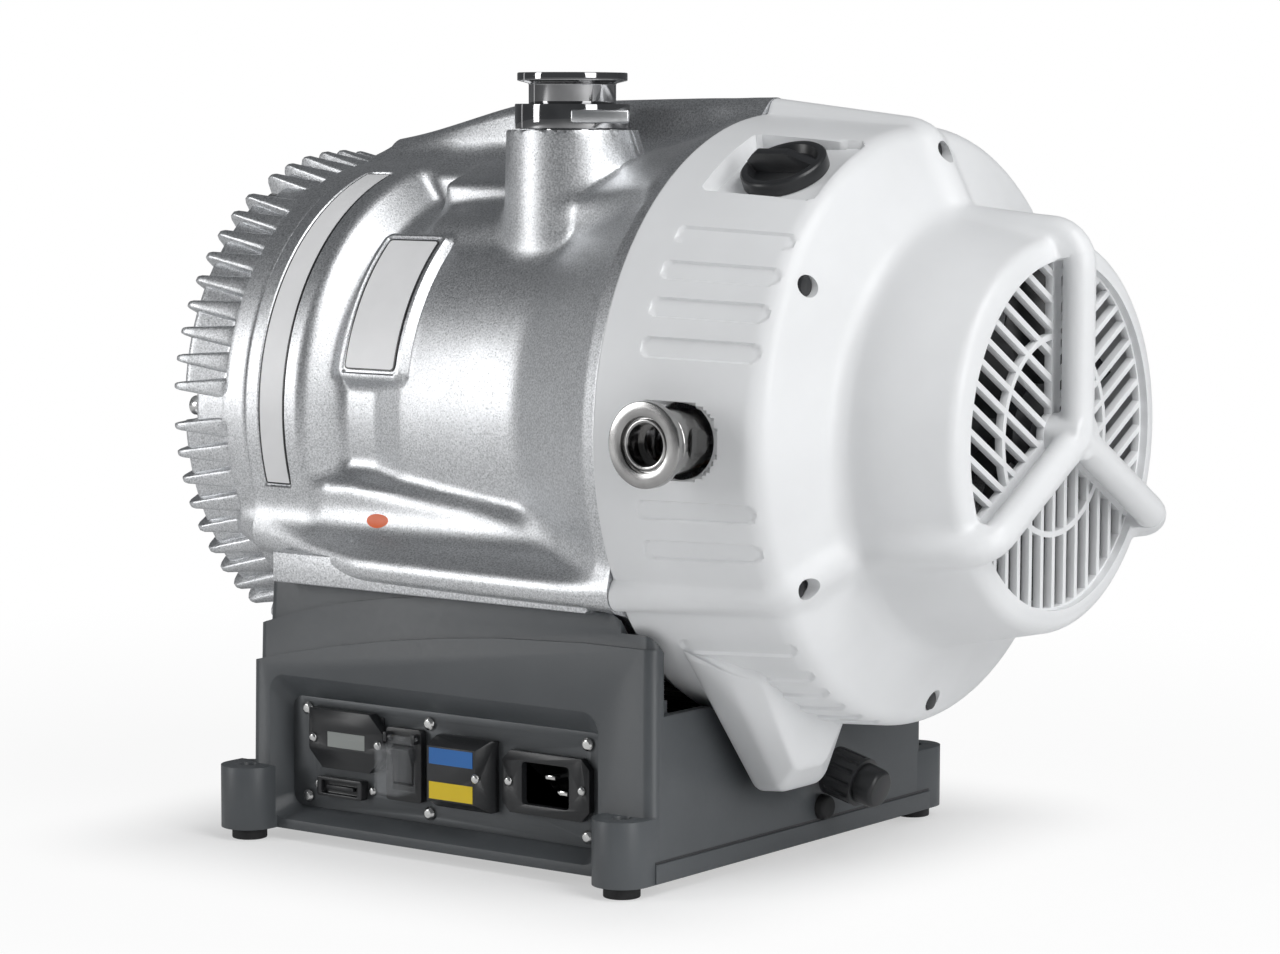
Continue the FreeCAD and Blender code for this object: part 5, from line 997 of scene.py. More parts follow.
@dataclass
class RaySkin:
    """Closed skin found by marching inwards along rays, one set for every turn about the shaft.

    Each ray lies in the plane of (x, radius): a start point and a direction. The rows in inner close the skin,
    and then every few rays, from the last to the first, give a wall of the stated thickness.
    """

    form: Form
    rays: Array
    turns: Array
    inner: Array
    reach: float = 60.0
    rounds: int = 46
    poles: bool = False
    wall: float = 0.0
    every: int = 6
    pace: float = 0.82

    def mesh(self) -> Mesh:
        """March every ray and build the closed mesh.

        Returns:
            The mesh.
        """
        angle = np.radians(self.turns)[None, :]
        c, s = -np.cos(angle), np.sin(angle)
        ox, orad, dx, dr = (self.rays[:, i:i + 1] for i in range(4))
        along = np.full((len(self.rays), len(self.turns)), self.reach)
        for _ in range(self.rounds):
            r = orad + along * dr
            along = along - self.pace * self.form.distance(ox + along * dx + 0.0 * c, r * c, r * s)
        inner = [np.repeat(self.inner[:, i:i + 1], len(self.turns), 1) for i in (0, 1)]
        back = self.back_rows(along)
        x = np.vstack([ox + along * dx, inner[0], back[0]])
        r = np.vstack([orad + along * dr, inner[1], back[1]])
        points = np.stack([x, r * c, r * s + SHAFT_Z], axis=-1).reshape(-1, 3)
        return grid_mesh(points, x.shape[0], x.shape[1], not self.poles)

    def back_rows(self, along: Array) -> tuple:
        """Return the wall's inner rows, clear of the outside between them.

        Args:
            along: How far along each ray the outside is.

        Returns:
            The rows' stations and radii.
        """
        if self.wall <= 0:
            empty = np.zeros((0, along.shape[1]))
            return empty, empty
        chosen = list(range(len(self.rays) - 5, 0, -self.every)) + [0]
        rows_x = []
        rows_r = []
        for i, ray in enumerate(chosen):
            high = chosen[i - 1] if i else len(self.rays) - 1
            low = chosen[i + 1] if i + 1 < len(chosen) else 0
            back = along[low:high + 1].min(0) - self.wall
            rows_x.append(self.rays[ray, 0] + back * self.rays[ray, 2])
            rows_r.append(self.rays[ray, 1] + back * self.rays[ray, 3])
        return np.array(rows_x), np.array(rows_r)


# The castings and the cowl
@dataclass
class HousingSkin(Form):
    """The cast housing: flange, waist, barrel, flare, three bars with ledges, boss foot, pads and slots."""

    body: tuple = ((-124.0, 60.0, 0), (-124.0, 126.0, 1.4), (-87.0, 126.0, 9), (-73.0, 108.0, 9),
                   (-53.0, 107.5, 12), (-32.0, 112.0, 24), (12.0, 115.0, 90), (44.0, 115.5, 34), (108.0, 146.0, 8),
                   (117.7, 148.0, 0), (117.7, 60.0, 0))
    bar_line: tuple = ((-128.0, 127.0), (-109.0, 131.2), (-79.6, 138.5), (-47.6, 146.3), (-33.0, 148.0),
                       (72.0, 150.5), (122.0, 150.5))
    bar_half: float = 8.0
    ledges: tuple = ((-95.0, 28.0, 120.5, 128.0), (-60.0, 28.0, 120.5, 128.0), (15.0, 21.0, 122.0, 129.0),
                     (60.0, 14.0, 123.0, 130.0), (110.0, 13.0, 123.0, 130.0))
    shoulder: tuple = ((-60.0, 60.0, 0), (-52.0, 113.0, 6), (0.0, 118.0, 30), (48.0, 132.0, 20),
                       (104.0, 142.0, 0), (104.0, 60.0, 0))
    shoulder_half_turn: float = 38.0
    top_ledge: tuple = ((-68.0, 60.0, 0), (-56.0, 124.5, 5), (28.0, 126.0, 8), (42.0, 60.0, 0))
    top_half_turn: float = 24.0
    boss_radius: float = 32.9
    boss_height: float = 142.6
    boss_draft: float = 0.025
    pad: Patch = Patch(-50.5, 21.0, 29.75, 20.75, 117.0)
    pad_rim: float = 3.2
    pad_depth: float = 1.2
    strip: Patch = Patch(-106.0, 9.0, 27.0, 45.0, 126.0)
    strip_depth: float = 1.0
    slot_turns: tuple = (118.0, 132.0, 168.0, 182.0, 228.0, 242.0, 256.0, 284.0, 298.0, 312.0)
    slot_half_turn: float = 4.5
    slot_floor: float = 112.0

    def __post_init__(self) -> None:
        """Make the fields."""
        self.body_field, self.shoulder_field, self.top_field = (
            ProfileField(rounded_line(outline)) for outline in (self.body, self.shoulder, self.top_ledge))
        self.bars = three_bars(smooth_line(self.bar_line), self.bar_half)
        self.slots = [Patch(80.0, 26.0, turn, self.slot_half_turn, 128.0) for turn in self.slot_turns]

    def distance(self, x: Array, y: Array, z: Array) -> Array:
        """Return the distance to the casting's outside.

        Args:
            x: Stations.
            y: Depths.
            z: Heights above the shaft line.

        Returns:
            The distances, negative inside.
        """
        r = np.hypot(y, z)
        turn = np.degrees(np.arctan2(z, -y))
        arc = np.radians(1.0) * r
        result = self.body_field(x, r)
        stations = [row[0] for row in self.ledges]
        for bar_turn in BAR_TURNS:
            up, side = in_plane(y, z, bar_turn)
            half, edge, crown = (np.interp(x, stations, [row[i] for row in self.ledges]) for i in (1, 2, 3))
            side = np.abs(side)
            roof = np.maximum(up - (crown - (crown - edge) * side / half), -up)
            result = soft_min(result, soft_max(roof, side - half, 7.0), 7.0)
        past = np.abs(angle_from(turn, 90.0))
        for form, half_turn, rounding, fillet in ((self.shoulder_field, self.shoulder_half_turn, 13.0, 12.0),
                                                  (self.top_field, self.top_half_turn, 7.0, 8.0)):
            result = soft_min(result, soft_max(form(x, r), (past - half_turn) * arc, rounding), fillet)
        for bar in self.bars:
            result = soft_min(result, bar.distance(x, y, z), 16.0)
        boss = np.hypot(x - INLET_MM[0], y - INLET_MM[1]) - self.boss_radius - (143.0 - z) * self.boss_draft
        result = soft_min(result, np.maximum(np.maximum(boss, z - self.boss_height), 60.0 - z), 5.0)
        pad, strip = self.pad, self.strip
        result = soft_min(result, soft_max(pad.sides(x, turn, arc, 5.0), r - pad.radius, 2.0), 3.0)
        pocket = pad.sides(x, turn, arc, 2.5, self.pad_rim)
        result = carve(result, np.maximum(pocket, pad.radius - self.pad_depth - r), 0.5)
        band = strip.sides(x, turn, arc, 1.0)
        result = carve(result, np.maximum(band, strip.radius - self.strip_depth - r), 0.4)
        for slot in self.slots:
            hole = np.maximum(slot.sides(x, turn, math.radians(slot.radius), 3.0), self.slot_floor - r)
            result = carve(result, hole, 1.5)
        return result

    def surface(self, x: Array, turn: Array) -> Array:
        """Return the casting's radius.

        Args:
            x: Stations.
            turn: The turn at each of them.

        Returns:
            The radii.
        """
        angle = np.radians(turn)
        radius = np.full(len(x), 170.0)
        for _ in range(60):
            radius = radius - 0.8 * self.distance(x, -radius * np.cos(angle), radius * np.sin(angle))
        return radius

    def build(self, shop: Workshop) -> None:
        """Make the support rails, and the skin with the bores and the chamber inside it.

        Args:
            shop: Takes each finished mesh.
        """
        for name, y in (("front", -132.2), ("back", 108.0)):
            shop.add(f"support_rail_{name}", block((-100.0, y, 134.15), (100.0, y + 20.0, 150.0), 1.2))
        stations = lines_between(
            (-124.0, -122.6, 0.7), (-122.0, -116.2, 2.0), -115.4, -115.0, -114.6, (-112.0, -99.0, 2.4), -97.4,
            -97.0, -96.6, (-95.0, -64.0, 1.15), -68.5, -68.0, (-62.0, -28.0, 1.5), -33.4, -33.0,
            (-26.0, 52.0, 1.95), (53.6, 54.6, 0.5), (56.0, 104.0, 1.7), (105.3, 106.3, 0.5), (107.5, 117.7, 1.3))
        rays = np.array([(x, 0.0, 0.0, 1.0) for x in stations])
        turns = lines_between(
            (-60.0, 66.0, 0.62), (66.0, 115.0, 0.7), (115.0, 240.0, 1.15), (240.0, 299.4, 0.8),
            *(edge + d for edge in (-18.0, 72.0) for d in (-0.25, 0.0, 0.25)),
            *(edge + d for edge in (9.0, 50.5, 10.9, 48.6) for d in (-0.3, 0.3)),
            *(at + way * (self.slot_half_turn + d) for at in self.slot_turns for way in (-1, 1)
              for d in (-0.2, 0.0, 0.2)))
        inner = np.array([
            (117.7, 147.3), (124.0, 147.3), (124.0, 141.3), (116.0, 141.3), (116.0, 26.0), (98.0, 26.0),
            (98.0, 24.0), (-40.0, 24.0), (-40.0, 31.0), (-56.0, 31.0), (-56.0, 34.0), (-60.0, 34.0),
            (-60.0, 50.0), (-54.0, 50.0), (-54.0, 40.0), (100.0, 40.0), (100.0, 101.0), (-118.0, 101.0),
            (-118.0, 108.0), (-124.0, 108.0)])
        mesh = RaySkin(self, rays, turns, inner, reach=176.0, rounds=52).mesh()
        shop.add("housing_skin", smooth_by_angle(mesh, 40.0), replaces=("pump_housing",))


class FormTree(Wiring):
    """Builds one Geometry Nodes tree that takes and gives a geometry."""

    def __init__(self, name: str) -> None:
        """Start a tree with its first input and its output.

        Args:
            name: Its name.
        """
        super().__init__(bpy.data.node_groups.new(name, "GeometryNodeTree"))
        for way in ("INPUT", "OUTPUT"):
            self.tree.interface.new_socket("Geometry", in_out=way, socket_type="NodeSocketGeometry")
        self.start = self.node("NodeGroupInput")
        self.end = self.node("NodeGroupOutput")
        self.values: dict[str, object] = {}

    def ask(self, name: str, kind: str, value: object) -> Maths:
        """Add a named input.

        Args:
            name: Its name.
            kind: Its socket type, without the first word.
            value: What it is set to when the tree runs.

        Returns:
            The input.
        """
        made = self.tree.interface.new_socket(name, in_out="INPUT", socket_type=f"NodeSocket{kind}")
        self.values[made.identifier] = value
        return Maths(self, self.start.outputs[name])

    def run(self, mesh: Mesh) -> Mesh:
        """Return what the tree makes of a mesh."""
        return modified(mesh, ("NODES", {"node_group": self.tree, **self.values}))


@dataclass(frozen=True)
class FinRing:
    """The end cover's fins: one wedge, set round the shaft in sectors that leave room for the bolts.

    Each row of the wedge holds its crest, its root and half its width at the crest, in the plane of (x, radius).
    The crest holds a share of that width, the drop below the top and the share of the draft.
    """

    rows: tuple = ((-136.5, 124.2, -136.5, 115.0, 5.3), (-139.0, 125.1, -139.0, 115.0, 5.2),
                   (-141.0, 125.7, -141.0, 115.0, 5.0), (-150.0, 127.6, -149.0, 115.0, 4.0),
                   (-160.0, 129.7, -155.0, 115.0, 2.8), (-165.5, 130.9, -156.0, 114.5, 2.2),
                   (-168.0, 130.6, -156.5, 114.0, 1.8), (-169.9, 129.2, -156.5, 113.0, 1.5),
                   (-170.9, 126.8, -156.5, 112.0, 1.4), (-171.0, 122.0, -156.5, 110.0, 1.4),
                   (-171.0, 100.0, -156.5, 98.0, 1.6), (-171.0, 74.0, -156.5, 76.0, 1.6),
                   (-170.2, 69.0, -156.5, 68.0, 1.6), (-167.5, 65.0, -156.5, 62.0, 1.5),
                   (-160.0, 58.5, -156.5, 58.0, 1.3))
    crest: tuple = ((1.0, 1.3, 0.25), (0.86, 0.45, 0.0), (0.55, 0.05, 0.0), (0.0, 0.0, 0.0))
    draft: float = 0.13
    sectors: int = 6
    fins_per_sector: int = 9
    first_turn: float = 4.6

    def wedge(self) -> Mesh:
        """Return one fin at turn 0, with the shaft line through the origin.

        Returns:
            The mesh.
        """
        points = []
        for x, r, root_x, root_r, half in self.rows:
            depth = math.hypot(r - root_r, x - root_x)
            down = ((root_x - x) / depth, (root_r - r) / depth)
            side = [(half + self.draft * depth, depth)]
            side += [(half * width + self.draft * share, drop) for width, drop, share in self.crest]
            for w, d in side + [(-w, d) for w, d in side[-2::-1]]:
                points.append((x + down[0] * d, -(r + down[1] * d), w))
        return smooth_by_angle(tube_of_rows(points, 2 * len(self.crest) + 1), 50.0)

    def mesh(self, shop: Workshop) -> Mesh:
        """Return every fin as one mesh.

        Args:
            shop: Takes each finished mesh.

        Returns:
            The mesh.
        """
        form = FormTree("Fins_Round_Shaft")
        sectors = form.ask("Sectors", "Int", self.sectors)
        each = form.ask("Fins in a Sector", "Int", self.fins_per_sector)
        first = form.ask("First Turn", "Float", self.first_turn)
        height = form.ask("Shaft Height", "Float", SHAFT_Z * MM)
        material = form.ask("Material", "Material", shop.materials["cast_aluminium"])
        index = Maths(form, form.node("GeometryNodeInputIndex"))
        sector = 360.0 / sectors
        number = (index / each).join("FLOOR")
        pitch = (sector - first * 2.0) / (each - 1.0)
        turn = (number * sector + first + (index - number * each) * pitch) * math.radians(1.0)
        lean = form.node("ShaderNodeCombineXYZ", None, {0: turn * -1.0})
        line = form.node("GeometryNodeMeshLine", {"mode": "OFFSET"}, {
            "Count": sectors * each, "Start Location": form.node("ShaderNodeCombineXYZ", None, {2: height}),
            "Offset": (0.0, 0.0, 0.0)})
        copies = form.node("GeometryNodeInstanceOnPoints", None, {
            "Points": line, "Instance": form.start,
            "Rotation": form.node("FunctionNodeEulerToRotation", None, {0: lean})})
        whole = form.node("GeometryNodeRealizeInstances", None, {0: copies})
        form.feed(form.end.inputs[0], form.node("GeometryNodeSetMaterial", None, {0: whole, "Material": material}))
        return form.run(self.wedge())


@dataclass(frozen=True)
class ScrollWall:
    """The fixed spiral wall: semicircles about two centres, a step apart."""

    step: float = 9.0
    width: float = 4.5
    first: float = 10.0
    arcs: int = 9
    points_in_arc: int = 25
    root_x: float = -145.0
    tip_x: float = -112.4

    def mesh(self) -> Mesh:
        """Build the wall from its middle line.

        Returns:
            The mesh.
        """
        middle = []
        for i in range(self.arcs):
            way = 1.0 if i % 2 == 0 else -1.0
            last = i == self.arcs - 1
            for k in range(self.points_in_arc + last):
                middle.append((-way * self.step / 2, way, self.first + i * self.step,
                               math.pi * k / self.points_in_arc))
        points = []
        for centre, way, radius, angle in middle:
            for x, side in ((self.root_x, -1), (self.tip_x, -1), (self.tip_x, 1), (self.root_x, 1)):
                reach = way * (radius + side * self.width / 2)
                points.append((x, centre + reach * math.cos(angle), SHAFT_Z + reach * math.sin(angle)))
        return smooth_by_angle(tube_of_rows(points, 4), 30.0)


@dataclass
class CoverSkin(Form):
    """The finned end cover, with its rim ring, bolt pockets, bar lugs and, inside, the fixed scroll wrap."""

    body: tuple = ((-124.0, 20.0, 0), (-124.0, 125.0, 1.4), (-138.0, 125.0, 1.2), (-140.5, 121.0, 2.0),
                   (-164.5, 126.5, 2.5), (-167.5, 123.5, 1.5), (-167.5, 110.0, 2), (-158.0, 107.0, 3),
                   (-158.0, -10.0, 0), (-124.0, -10.0, 0))
    hub: tuple = ((-155.0, 0.8, 0), (-155.0, 34.5, 0), (-158.0, 34.5, 0), (-158.9, 31.6, 0.8), (-166.5, 29.4, 2.0),
                  (-166.5, 0.8, 0))
    fins: FinRing = FinRing()
    wrap: ScrollWall = ScrollWall()
    bolts: int = 6
    lug_line: tuple = ((-144.0, 113.0), (-138.0, 120.0), (-124.0, 127.5), (-119.0, 129.0))
    lug_half: float = 8.0
    rim: tuple = (106.0, 125.0)
    boss_half: float = 9.0
    pocket_half: float = 7.3
    face_x: float = -158.0
    fan: tuple = (-134.0, 70.0)

    def __post_init__(self) -> None:
        """Make the fields."""
        self.body_field = ProfileField(rounded_line(self.body))
        self.lugs = three_bars(np.array(self.lug_line), self.lug_half)
        self.sector = 360.0 / self.bolts

    def distance(self, x: Array, y: Array, z: Array) -> Array:
        """Return the distance to the cover's outside.

        Args:
            x: Stations.
            y: Depths.
            z: Heights above the shaft line.

        Returns:
            The distances, negative inside.
        """
        r = np.hypot(y, z)
        turn = np.degrees(np.arctan2(z, -y)) % self.sector
        from_bolt = (self.sector / 2 - np.abs(turn - self.sector / 2)) * (np.radians(1.0) * r)
        rim = soft_max(np.maximum(r - self.rim[1], self.rim[0] - r), np.abs(x + 148.0) - 10.5, 1.5)
        result = soft_min(self.body_field(x, r), soft_max(rim, from_bolt - self.boss_half, 3.0), 1.5)
        for lug in self.lugs:
            result = soft_min(result, lug.distance(x, y, z), 9.0)
        pocket = soft_max(from_bolt - self.pocket_half, 112.4 - r, 4.0)
        return carve(result, np.maximum(pocket, x - self.face_x), 1.0)

    def build(self, shop: Workshop) -> None:
        """Make the cover's skin, its fins, its hub and its wrap.

        Args:
            shop: Takes each finished mesh.
        """
        outline = rounded_line(((-134.0, 130.0, 0), (-166.0, 131.0, 4), (-171.0, 126.0, 3), (-171.0, 60.0, 4),
                                (self.face_x, 40.0, 3), (self.face_x, 1.2, 0)))
        rays = [(x, self.fan[1], 0.0, 1.0) for x in (-124.0, -124.4, -125.0, -128.0, -131.0, -133.0)]
        rays += fan_of_rays(self.fan, outline, (0.0, 46.0, 1.5), (46.0, 62.0, 1.6), (62.0, 110.0, 2.6),
                            (110.0, None, 3.6))
        turns = []
        for start in (i * self.sector for i in range(self.bolts)):
            turns += [start + way * d for way in (-1, 1) for d in (
                0.0, 0.7, 1.4, 2.2, 2.8, 3.1, 3.4, 3.7, 4.0, 4.4, 5.0)]
            turns += [start + 6.0 + j for j in range(int(self.sector) - 11)]
        inner = np.array([(-124.0, 107.9), (-119.0, 107.9), (-119.0, 104.0), (-144.0, 104.0), (-144.0, 1.2)])
        skin = RaySkin(self, np.array(rays)[::-1], lines_between(*(t % 360.0 for t in turns)), inner, reach=74.0,
                       rounds=60, poles=True)
        shop.add("cover_skin", smooth_by_angle(skin.mesh(), 44.0), replaces=("fixed_scroll",))
        shop.add("cover_fins", self.fins.mesh(shop))
        shop.add("cover_hub", lathe(self.hub, ON_SHAFT, Axis.X))
        shop.add("fixed_wrap", self.wrap.mesh(), "machined_aluminium")


@dataclass
class CowlSkin(Form):
    """The moulded cowl: drum, shoulder, nose, bars, grooves, knob recess and exhaust dish."""

    seam_x: float = 118.0
    mouth_x: float = 282.0
    body: tuple = ((118.0, 60.0, 0), (118.0, 151.0, 1.0), (206.0, 145.0, 13), (225.0, 105.0, 14), (280.0, 93.5, 7),
                   (282.0, 85.0, 0), (282.0, 60.0, 0))
    bar_line: tuple = ((118.0, 150.5, 0), (202.0, 141.0, 14), (224.0, 99.5, 14), (290.0, 94.5, 16), (290.0, 0.0, 0))
    bar_half: float = 8.0
    bar_fillets: tuple = ((118.0, 198.0, 214.0, 262.0, 284.0), (2.2, 3.0, 9.0, 9.0, 5.0))
    drum: float = 148.0
    grooves: tuple = ((39.5, 22.0), (31.9, 22.0), (24.5, 22.0), (17.0, 22.0), (-12.4, 22.0), (-20.0, 22.0),
                      (-42.0, 23.0), (-50.0, 21.0), (-56.0, 53.0), (-62.5, 53.0), (-69.0, 54.0), (-75.0, 58.0))
    groove_half: float = 4.5
    groove_depth: float = 1.3
    groove_end: float = 198.5
    screws: tuple = (33.0, 90.0, 147.0, 210.0, 270.0, 330.0)
    knob_turn: float = 60.5
    knob_x: float = 170.6
    fan: tuple = (190.0, 70.0)
    cross_x: float = 262.0
    lobe_x: float = 137.0
    lobe_sections: tuple = (
        (0.0, ((-116.0, 126.0, 8), (-112.0, 120.0, 8), (-46.0, 40.0, 12), (-4.0, 40.0, 16), (22.0, 84.0, 10),
               (12.0, 126.0, 6))),
        (25.0, ((-108.0, 118.0, 8), (-104.0, 108.0, 8), (-58.0, 44.0, 12), (-20.0, 44.0, 14), (5.0, 84.0, 10),
                (-3.0, 118.0, 6))),
        (37.0, ((-98.0, 112.0, 6), (-95.0, 104.0, 6), (-64.0, 56.0, 9), (-38.0, 56.0, 11), (-15.0, 85.0, 9),
                (-19.0, 112.0, 6))))

    def __post_init__(self) -> None:
        """Make the fields."""
        self.body_field = ProfileField(rounded_line(self.body))
        self.bars = three_bars(rounded_line(self.bar_line), self.bar_half)

    def distance(self, x: Array, y: Array, z: Array) -> Array:
        """Return the distance to the cowl's outside.

        Args:
            x: Stations.
            y: Depths.
            z: Heights above the shaft line.

        Returns:
            The distances, negative inside.
        """
        turn = np.degrees(np.arctan2(z, -y))
        result = body = self.body_field(x, np.hypot(y, z))
        fillet = np.interp(x, *self.bar_fillets)
        for bar in self.bars:
            result = soft_min(result, bar.distance(x, y, z), fillet)
        for at, start in self.grooves:
            side = angle_from(turn, at) * (np.radians(1.0) * self.drum)
            begin = self.seam_x + start + self.groove_half
            away = np.hypot(np.maximum(np.maximum(begin - x, x - self.groove_end), 0.0), side) - self.groove_half
            result = carve(result, np.maximum(away, -body - self.groove_depth), 0.7)
        up, side = in_plane(y, z, self.knob_turn)
        recess = rounded_box(x - self.knob_x, side, 31.0, 26.0, 4.0)
        result = carve(result, np.maximum(recess, 140.0 - up), 1.0)
        dish = rounded_box(x - 159.0, z - 1.0, 26.0, 17.0, 16.5)
        return carve(result, np.maximum(dish, y + 142.0), 1.2)

    def build(self, shop: Workshop) -> None:
        """Make the skin, drill the screw seats and the exhaust's hole, and add the cross and the lobe.

        Args:
            shop: Takes each finished mesh.
        """
        fan_x = self.fan[0]
        outline = rounded_line(self.body[1:6], 12)
        path = np.vstack([[(fan_x, np.interp(fan_x, (118.0, 206.0), (151.0, 145.0)))],
                          outline[outline[:, 0] > fan_x], [(self.mouth_x, 84.0)]])
        drum = lines_between(118.0, 118.3, 118.8, 119.6, (121.0, 137.0, 2.2), (138.0, 147.0, 1.1), 139.2, 140.0,
                             (149.0, fan_x, 2.0), 171.0, 175.0)
        rays = [(x, self.fan[1], 0.0, 1.0) for x in drum] + fan_of_rays(self.fan, path, (0.4, None, 1.28))
        bands = [(-80.0, 100.0, 0.62), (100.0, 200.0, 1.3), (200.0, 220.0, 0.7), (220.0, 279.5, 1.3)]
        edge = math.degrees(self.groove_half / self.drum)
        for at, _ in self.grooves:
            bands += [at - edge - 0.2, at - edge + 0.1, at + edge - 0.1, at + edge + 0.2]
        bands += [self.knob_turn + way + d for way in (-10.1, 10.1) for d in (-0.2, 0.2)]
        inner = np.array([(self.mouth_x, 83.0), (278.0, 83.0), (278.0, 88.0), (276.5, 90.0)])
        skin = RaySkin(self, np.array(rays), lines_between(*bands), inner, reach=108.0, rounds=56, wall=3.0)
        drills = [(at_turn(207.0, 133.0, turn), at_turn(262.0, 133.0, turn), 5.2, 40) for turn in self.screws]
        x, _, z = EXHAUST_MM
        drills.append(((x, -170.0, z), (x, -120.0, z), 18.0, 72))
        mesh = smooth_by_angle(drilled(skin.mesh(), drills), 38.0)
        shop.add("cowl_skin", mesh, "cowl_plastic", replaces=("fan_cowl",))
        shop.add("cowl_cross", self.cross(), "cowl_plastic")
        shop.add("cowl_lobe", self.lobe(), "cowl_plastic")

    def cross(self) -> Mesh:
        """Return the three free tubes over the mouth and their soft meeting at the hub.

        Returns:
            The mesh.
        """
        points: list = []
        faces: list = []
        line = rounded_line(self.bar_line[2:], 10)
        start = (self.cross_x, float(np.interp(self.cross_x, (224.0, 290.0), (99.5, 94.5))))
        line = np.vstack([[start], line[line[:, 0] > self.cross_x]])
        for turn in BAR_TURNS:
            tube(points, faces, [at_turn(x, r, turn) for x, r in line], self.bar_half - 0.1, 28)
        tube(points, faces, [(276.0, 0.0, SHAFT_Z), (296.5, 0.0, SHAFT_Z)], 11.0, 36)
        mesh = modified(mesh_of(points, faces, False), ("REMESH", {"mode": "VOXEL", "voxel_size": 1.15 * MM}),
                        ("SMOOTH", {"factor": 0.5, "iterations": 9}))
        return smooth_by_angle(mesh, 60.0)

    def lobe(self) -> Mesh:
        """Return the lobe under the cowl's front, a smooth hull through its sections.

        Returns:
            The mesh.
        """
        first, second, third = (
            np.array([(self.lobe_x + offset, y, z) for y, z in rounded_loop(corners, 5)])
            for offset, corners in self.lobe_sections)
        stack = [first + (second - first) * s for s in (0.0, 0.3, 0.6, 0.85)]
        stack += [second, second + (third - second) * 0.5, third]
        centre = third.mean(0)
        for grow, out in ((0.97, 1.2), (0.9, 2.2), (0.75, 2.8)):
            ring = centre + (third - centre) * grow
            ring[:, 0] = third[:, 0] + out
            stack.append(ring)
        mesh = grid_mesh(np.vstack(stack), len(stack), len(first), False)
        return smooth_by_angle(modified(mesh, ("SUBSURF", {"levels": 2, "render_levels": 2})), 70.0)


# Turned and fitted pieces
def lathe(corners: tuple, centre: Point, axis: Axis, sides: int = 144, steps: int = 3) -> Mesh:
    """Turn a closed outline about an axis.

    Args:
        corners: (station, radius, rounding) of each corner; stations run along +Z, +X or -Y.
        centre: A point on the axis.
        axis: The axis.
        sides: Steps right round.
        steps: Steps in each rounding.

    Returns:
        The closed mesh.
    """
    outline = rounded_loop(corners, steps)
    angle = np.linspace(0.0, 2 * math.pi, sides, endpoint=False)[None, :]
    station = np.repeat(outline[:, :1], sides, 1)
    one, two = outline[:, 1:] * np.cos(angle), outline[:, 1:] * np.sin(angle)
    parts = {Axis.Z: (centre[0] + one, centre[1] + two, station),
             Axis.Y: (centre[0] + one, -station, centre[2] + two),
             Axis.X: (station, centre[1] + one, centre[2] + two)}[axis]
    return smooth_by_angle(grid_mesh(np.stack(parts, axis=-1).reshape(-1, 3), len(outline), sides, True), 28.0)


def block(low: Point, high: Point, edge: float) -> Mesh:
    """Return a box with rounded edges.

    Args:
        low: The lowest corner.
        high: The highest corner.
        edge: The rounding's radius.

    Returns:
        The mesh.
    """
    bm = bmesh.new()
    bmesh.ops.create_cube(bm, size=1.0)
    for vertex in bm.verts:
        vertex.co = Vector([(vertex.co[i] + 0.5) * (high[i] - low[i]) + low[i] for i in range(3)]) * MM
    if edge > 0:
        bmesh.ops.bevel(bm, geom=bm.edges[:], offset=edge * MM, segments=3, affect="EDGES", profile=0.5)
    mesh = bpy.data.meshes.new("piece")
    bm.to_mesh(mesh)
    bm.free()
    return smooth_by_angle(mesh, 40.0)


@dataclass
class InletFitting:
    """The inlet's vacuum flange on its neck, and the collar with its clamp block."""

    top: float = 391.0
    flange: float = 27.5
    neck: float = 21.8
    foot: float = 18.9
    bore: float = 17.0
    seat: float = 20.6
    seat_depth: float = 3.0
    collar: float = 28.7
    collar_low: float = 363.0
    collar_high: float = 375.5
    block_turn: float = 36.0

    def build(self, shop: Workshop) -> None:
        """Turn the nozzle and the collar and add the block.

        Args:
            shop: Takes each finished mesh.
        """
        floor = self.top - self.seat_depth
        nozzle = ((357.0, self.bore, 0), (357.0, self.foot, 0), (363.0, self.foot, 0), (363.0, self.neck, 0.2),
                  (self.top - 5.4, self.neck, 1.0), (self.top - 4.0, self.flange, 0.5),
                  (self.top, self.flange, 0.6), (self.top, self.seat, 0.3), (floor, self.seat, 0.3),
                  (floor, self.bore, 0.3))
        shop.add("inlet_flange", lathe(nozzle, INLET_MM, Axis.Z), "nickel_steel", "polished_inlet",
                 ("inlet_nozzle",))
        low, inside = self.collar_low + 0.1, self.neck + 0.1
        ring = ((low, inside, 0.2), (low, self.collar, 0.6), (self.collar_high, self.collar, 0.6),
                (self.collar_high, inside, 0.3))
        shop.add("inlet_ring", lathe(ring, INLET_MM, Axis.Z), "clear_anodised", "polished_inlet",
                 ("inlet_collar",))
        clamp = block((0.0, -30.2, 366.0), (self.collar, -12.0, 372.6), 1.1)
        clamp.transform(Matrix.Translation(Vector((*INLET_MM[:2], 0.0)) * MM)
                        @ Matrix.Rotation(math.radians(self.block_turn), 4, "Z"))
        shop.add("inlet_clamp", clamp, "clear_anodised")


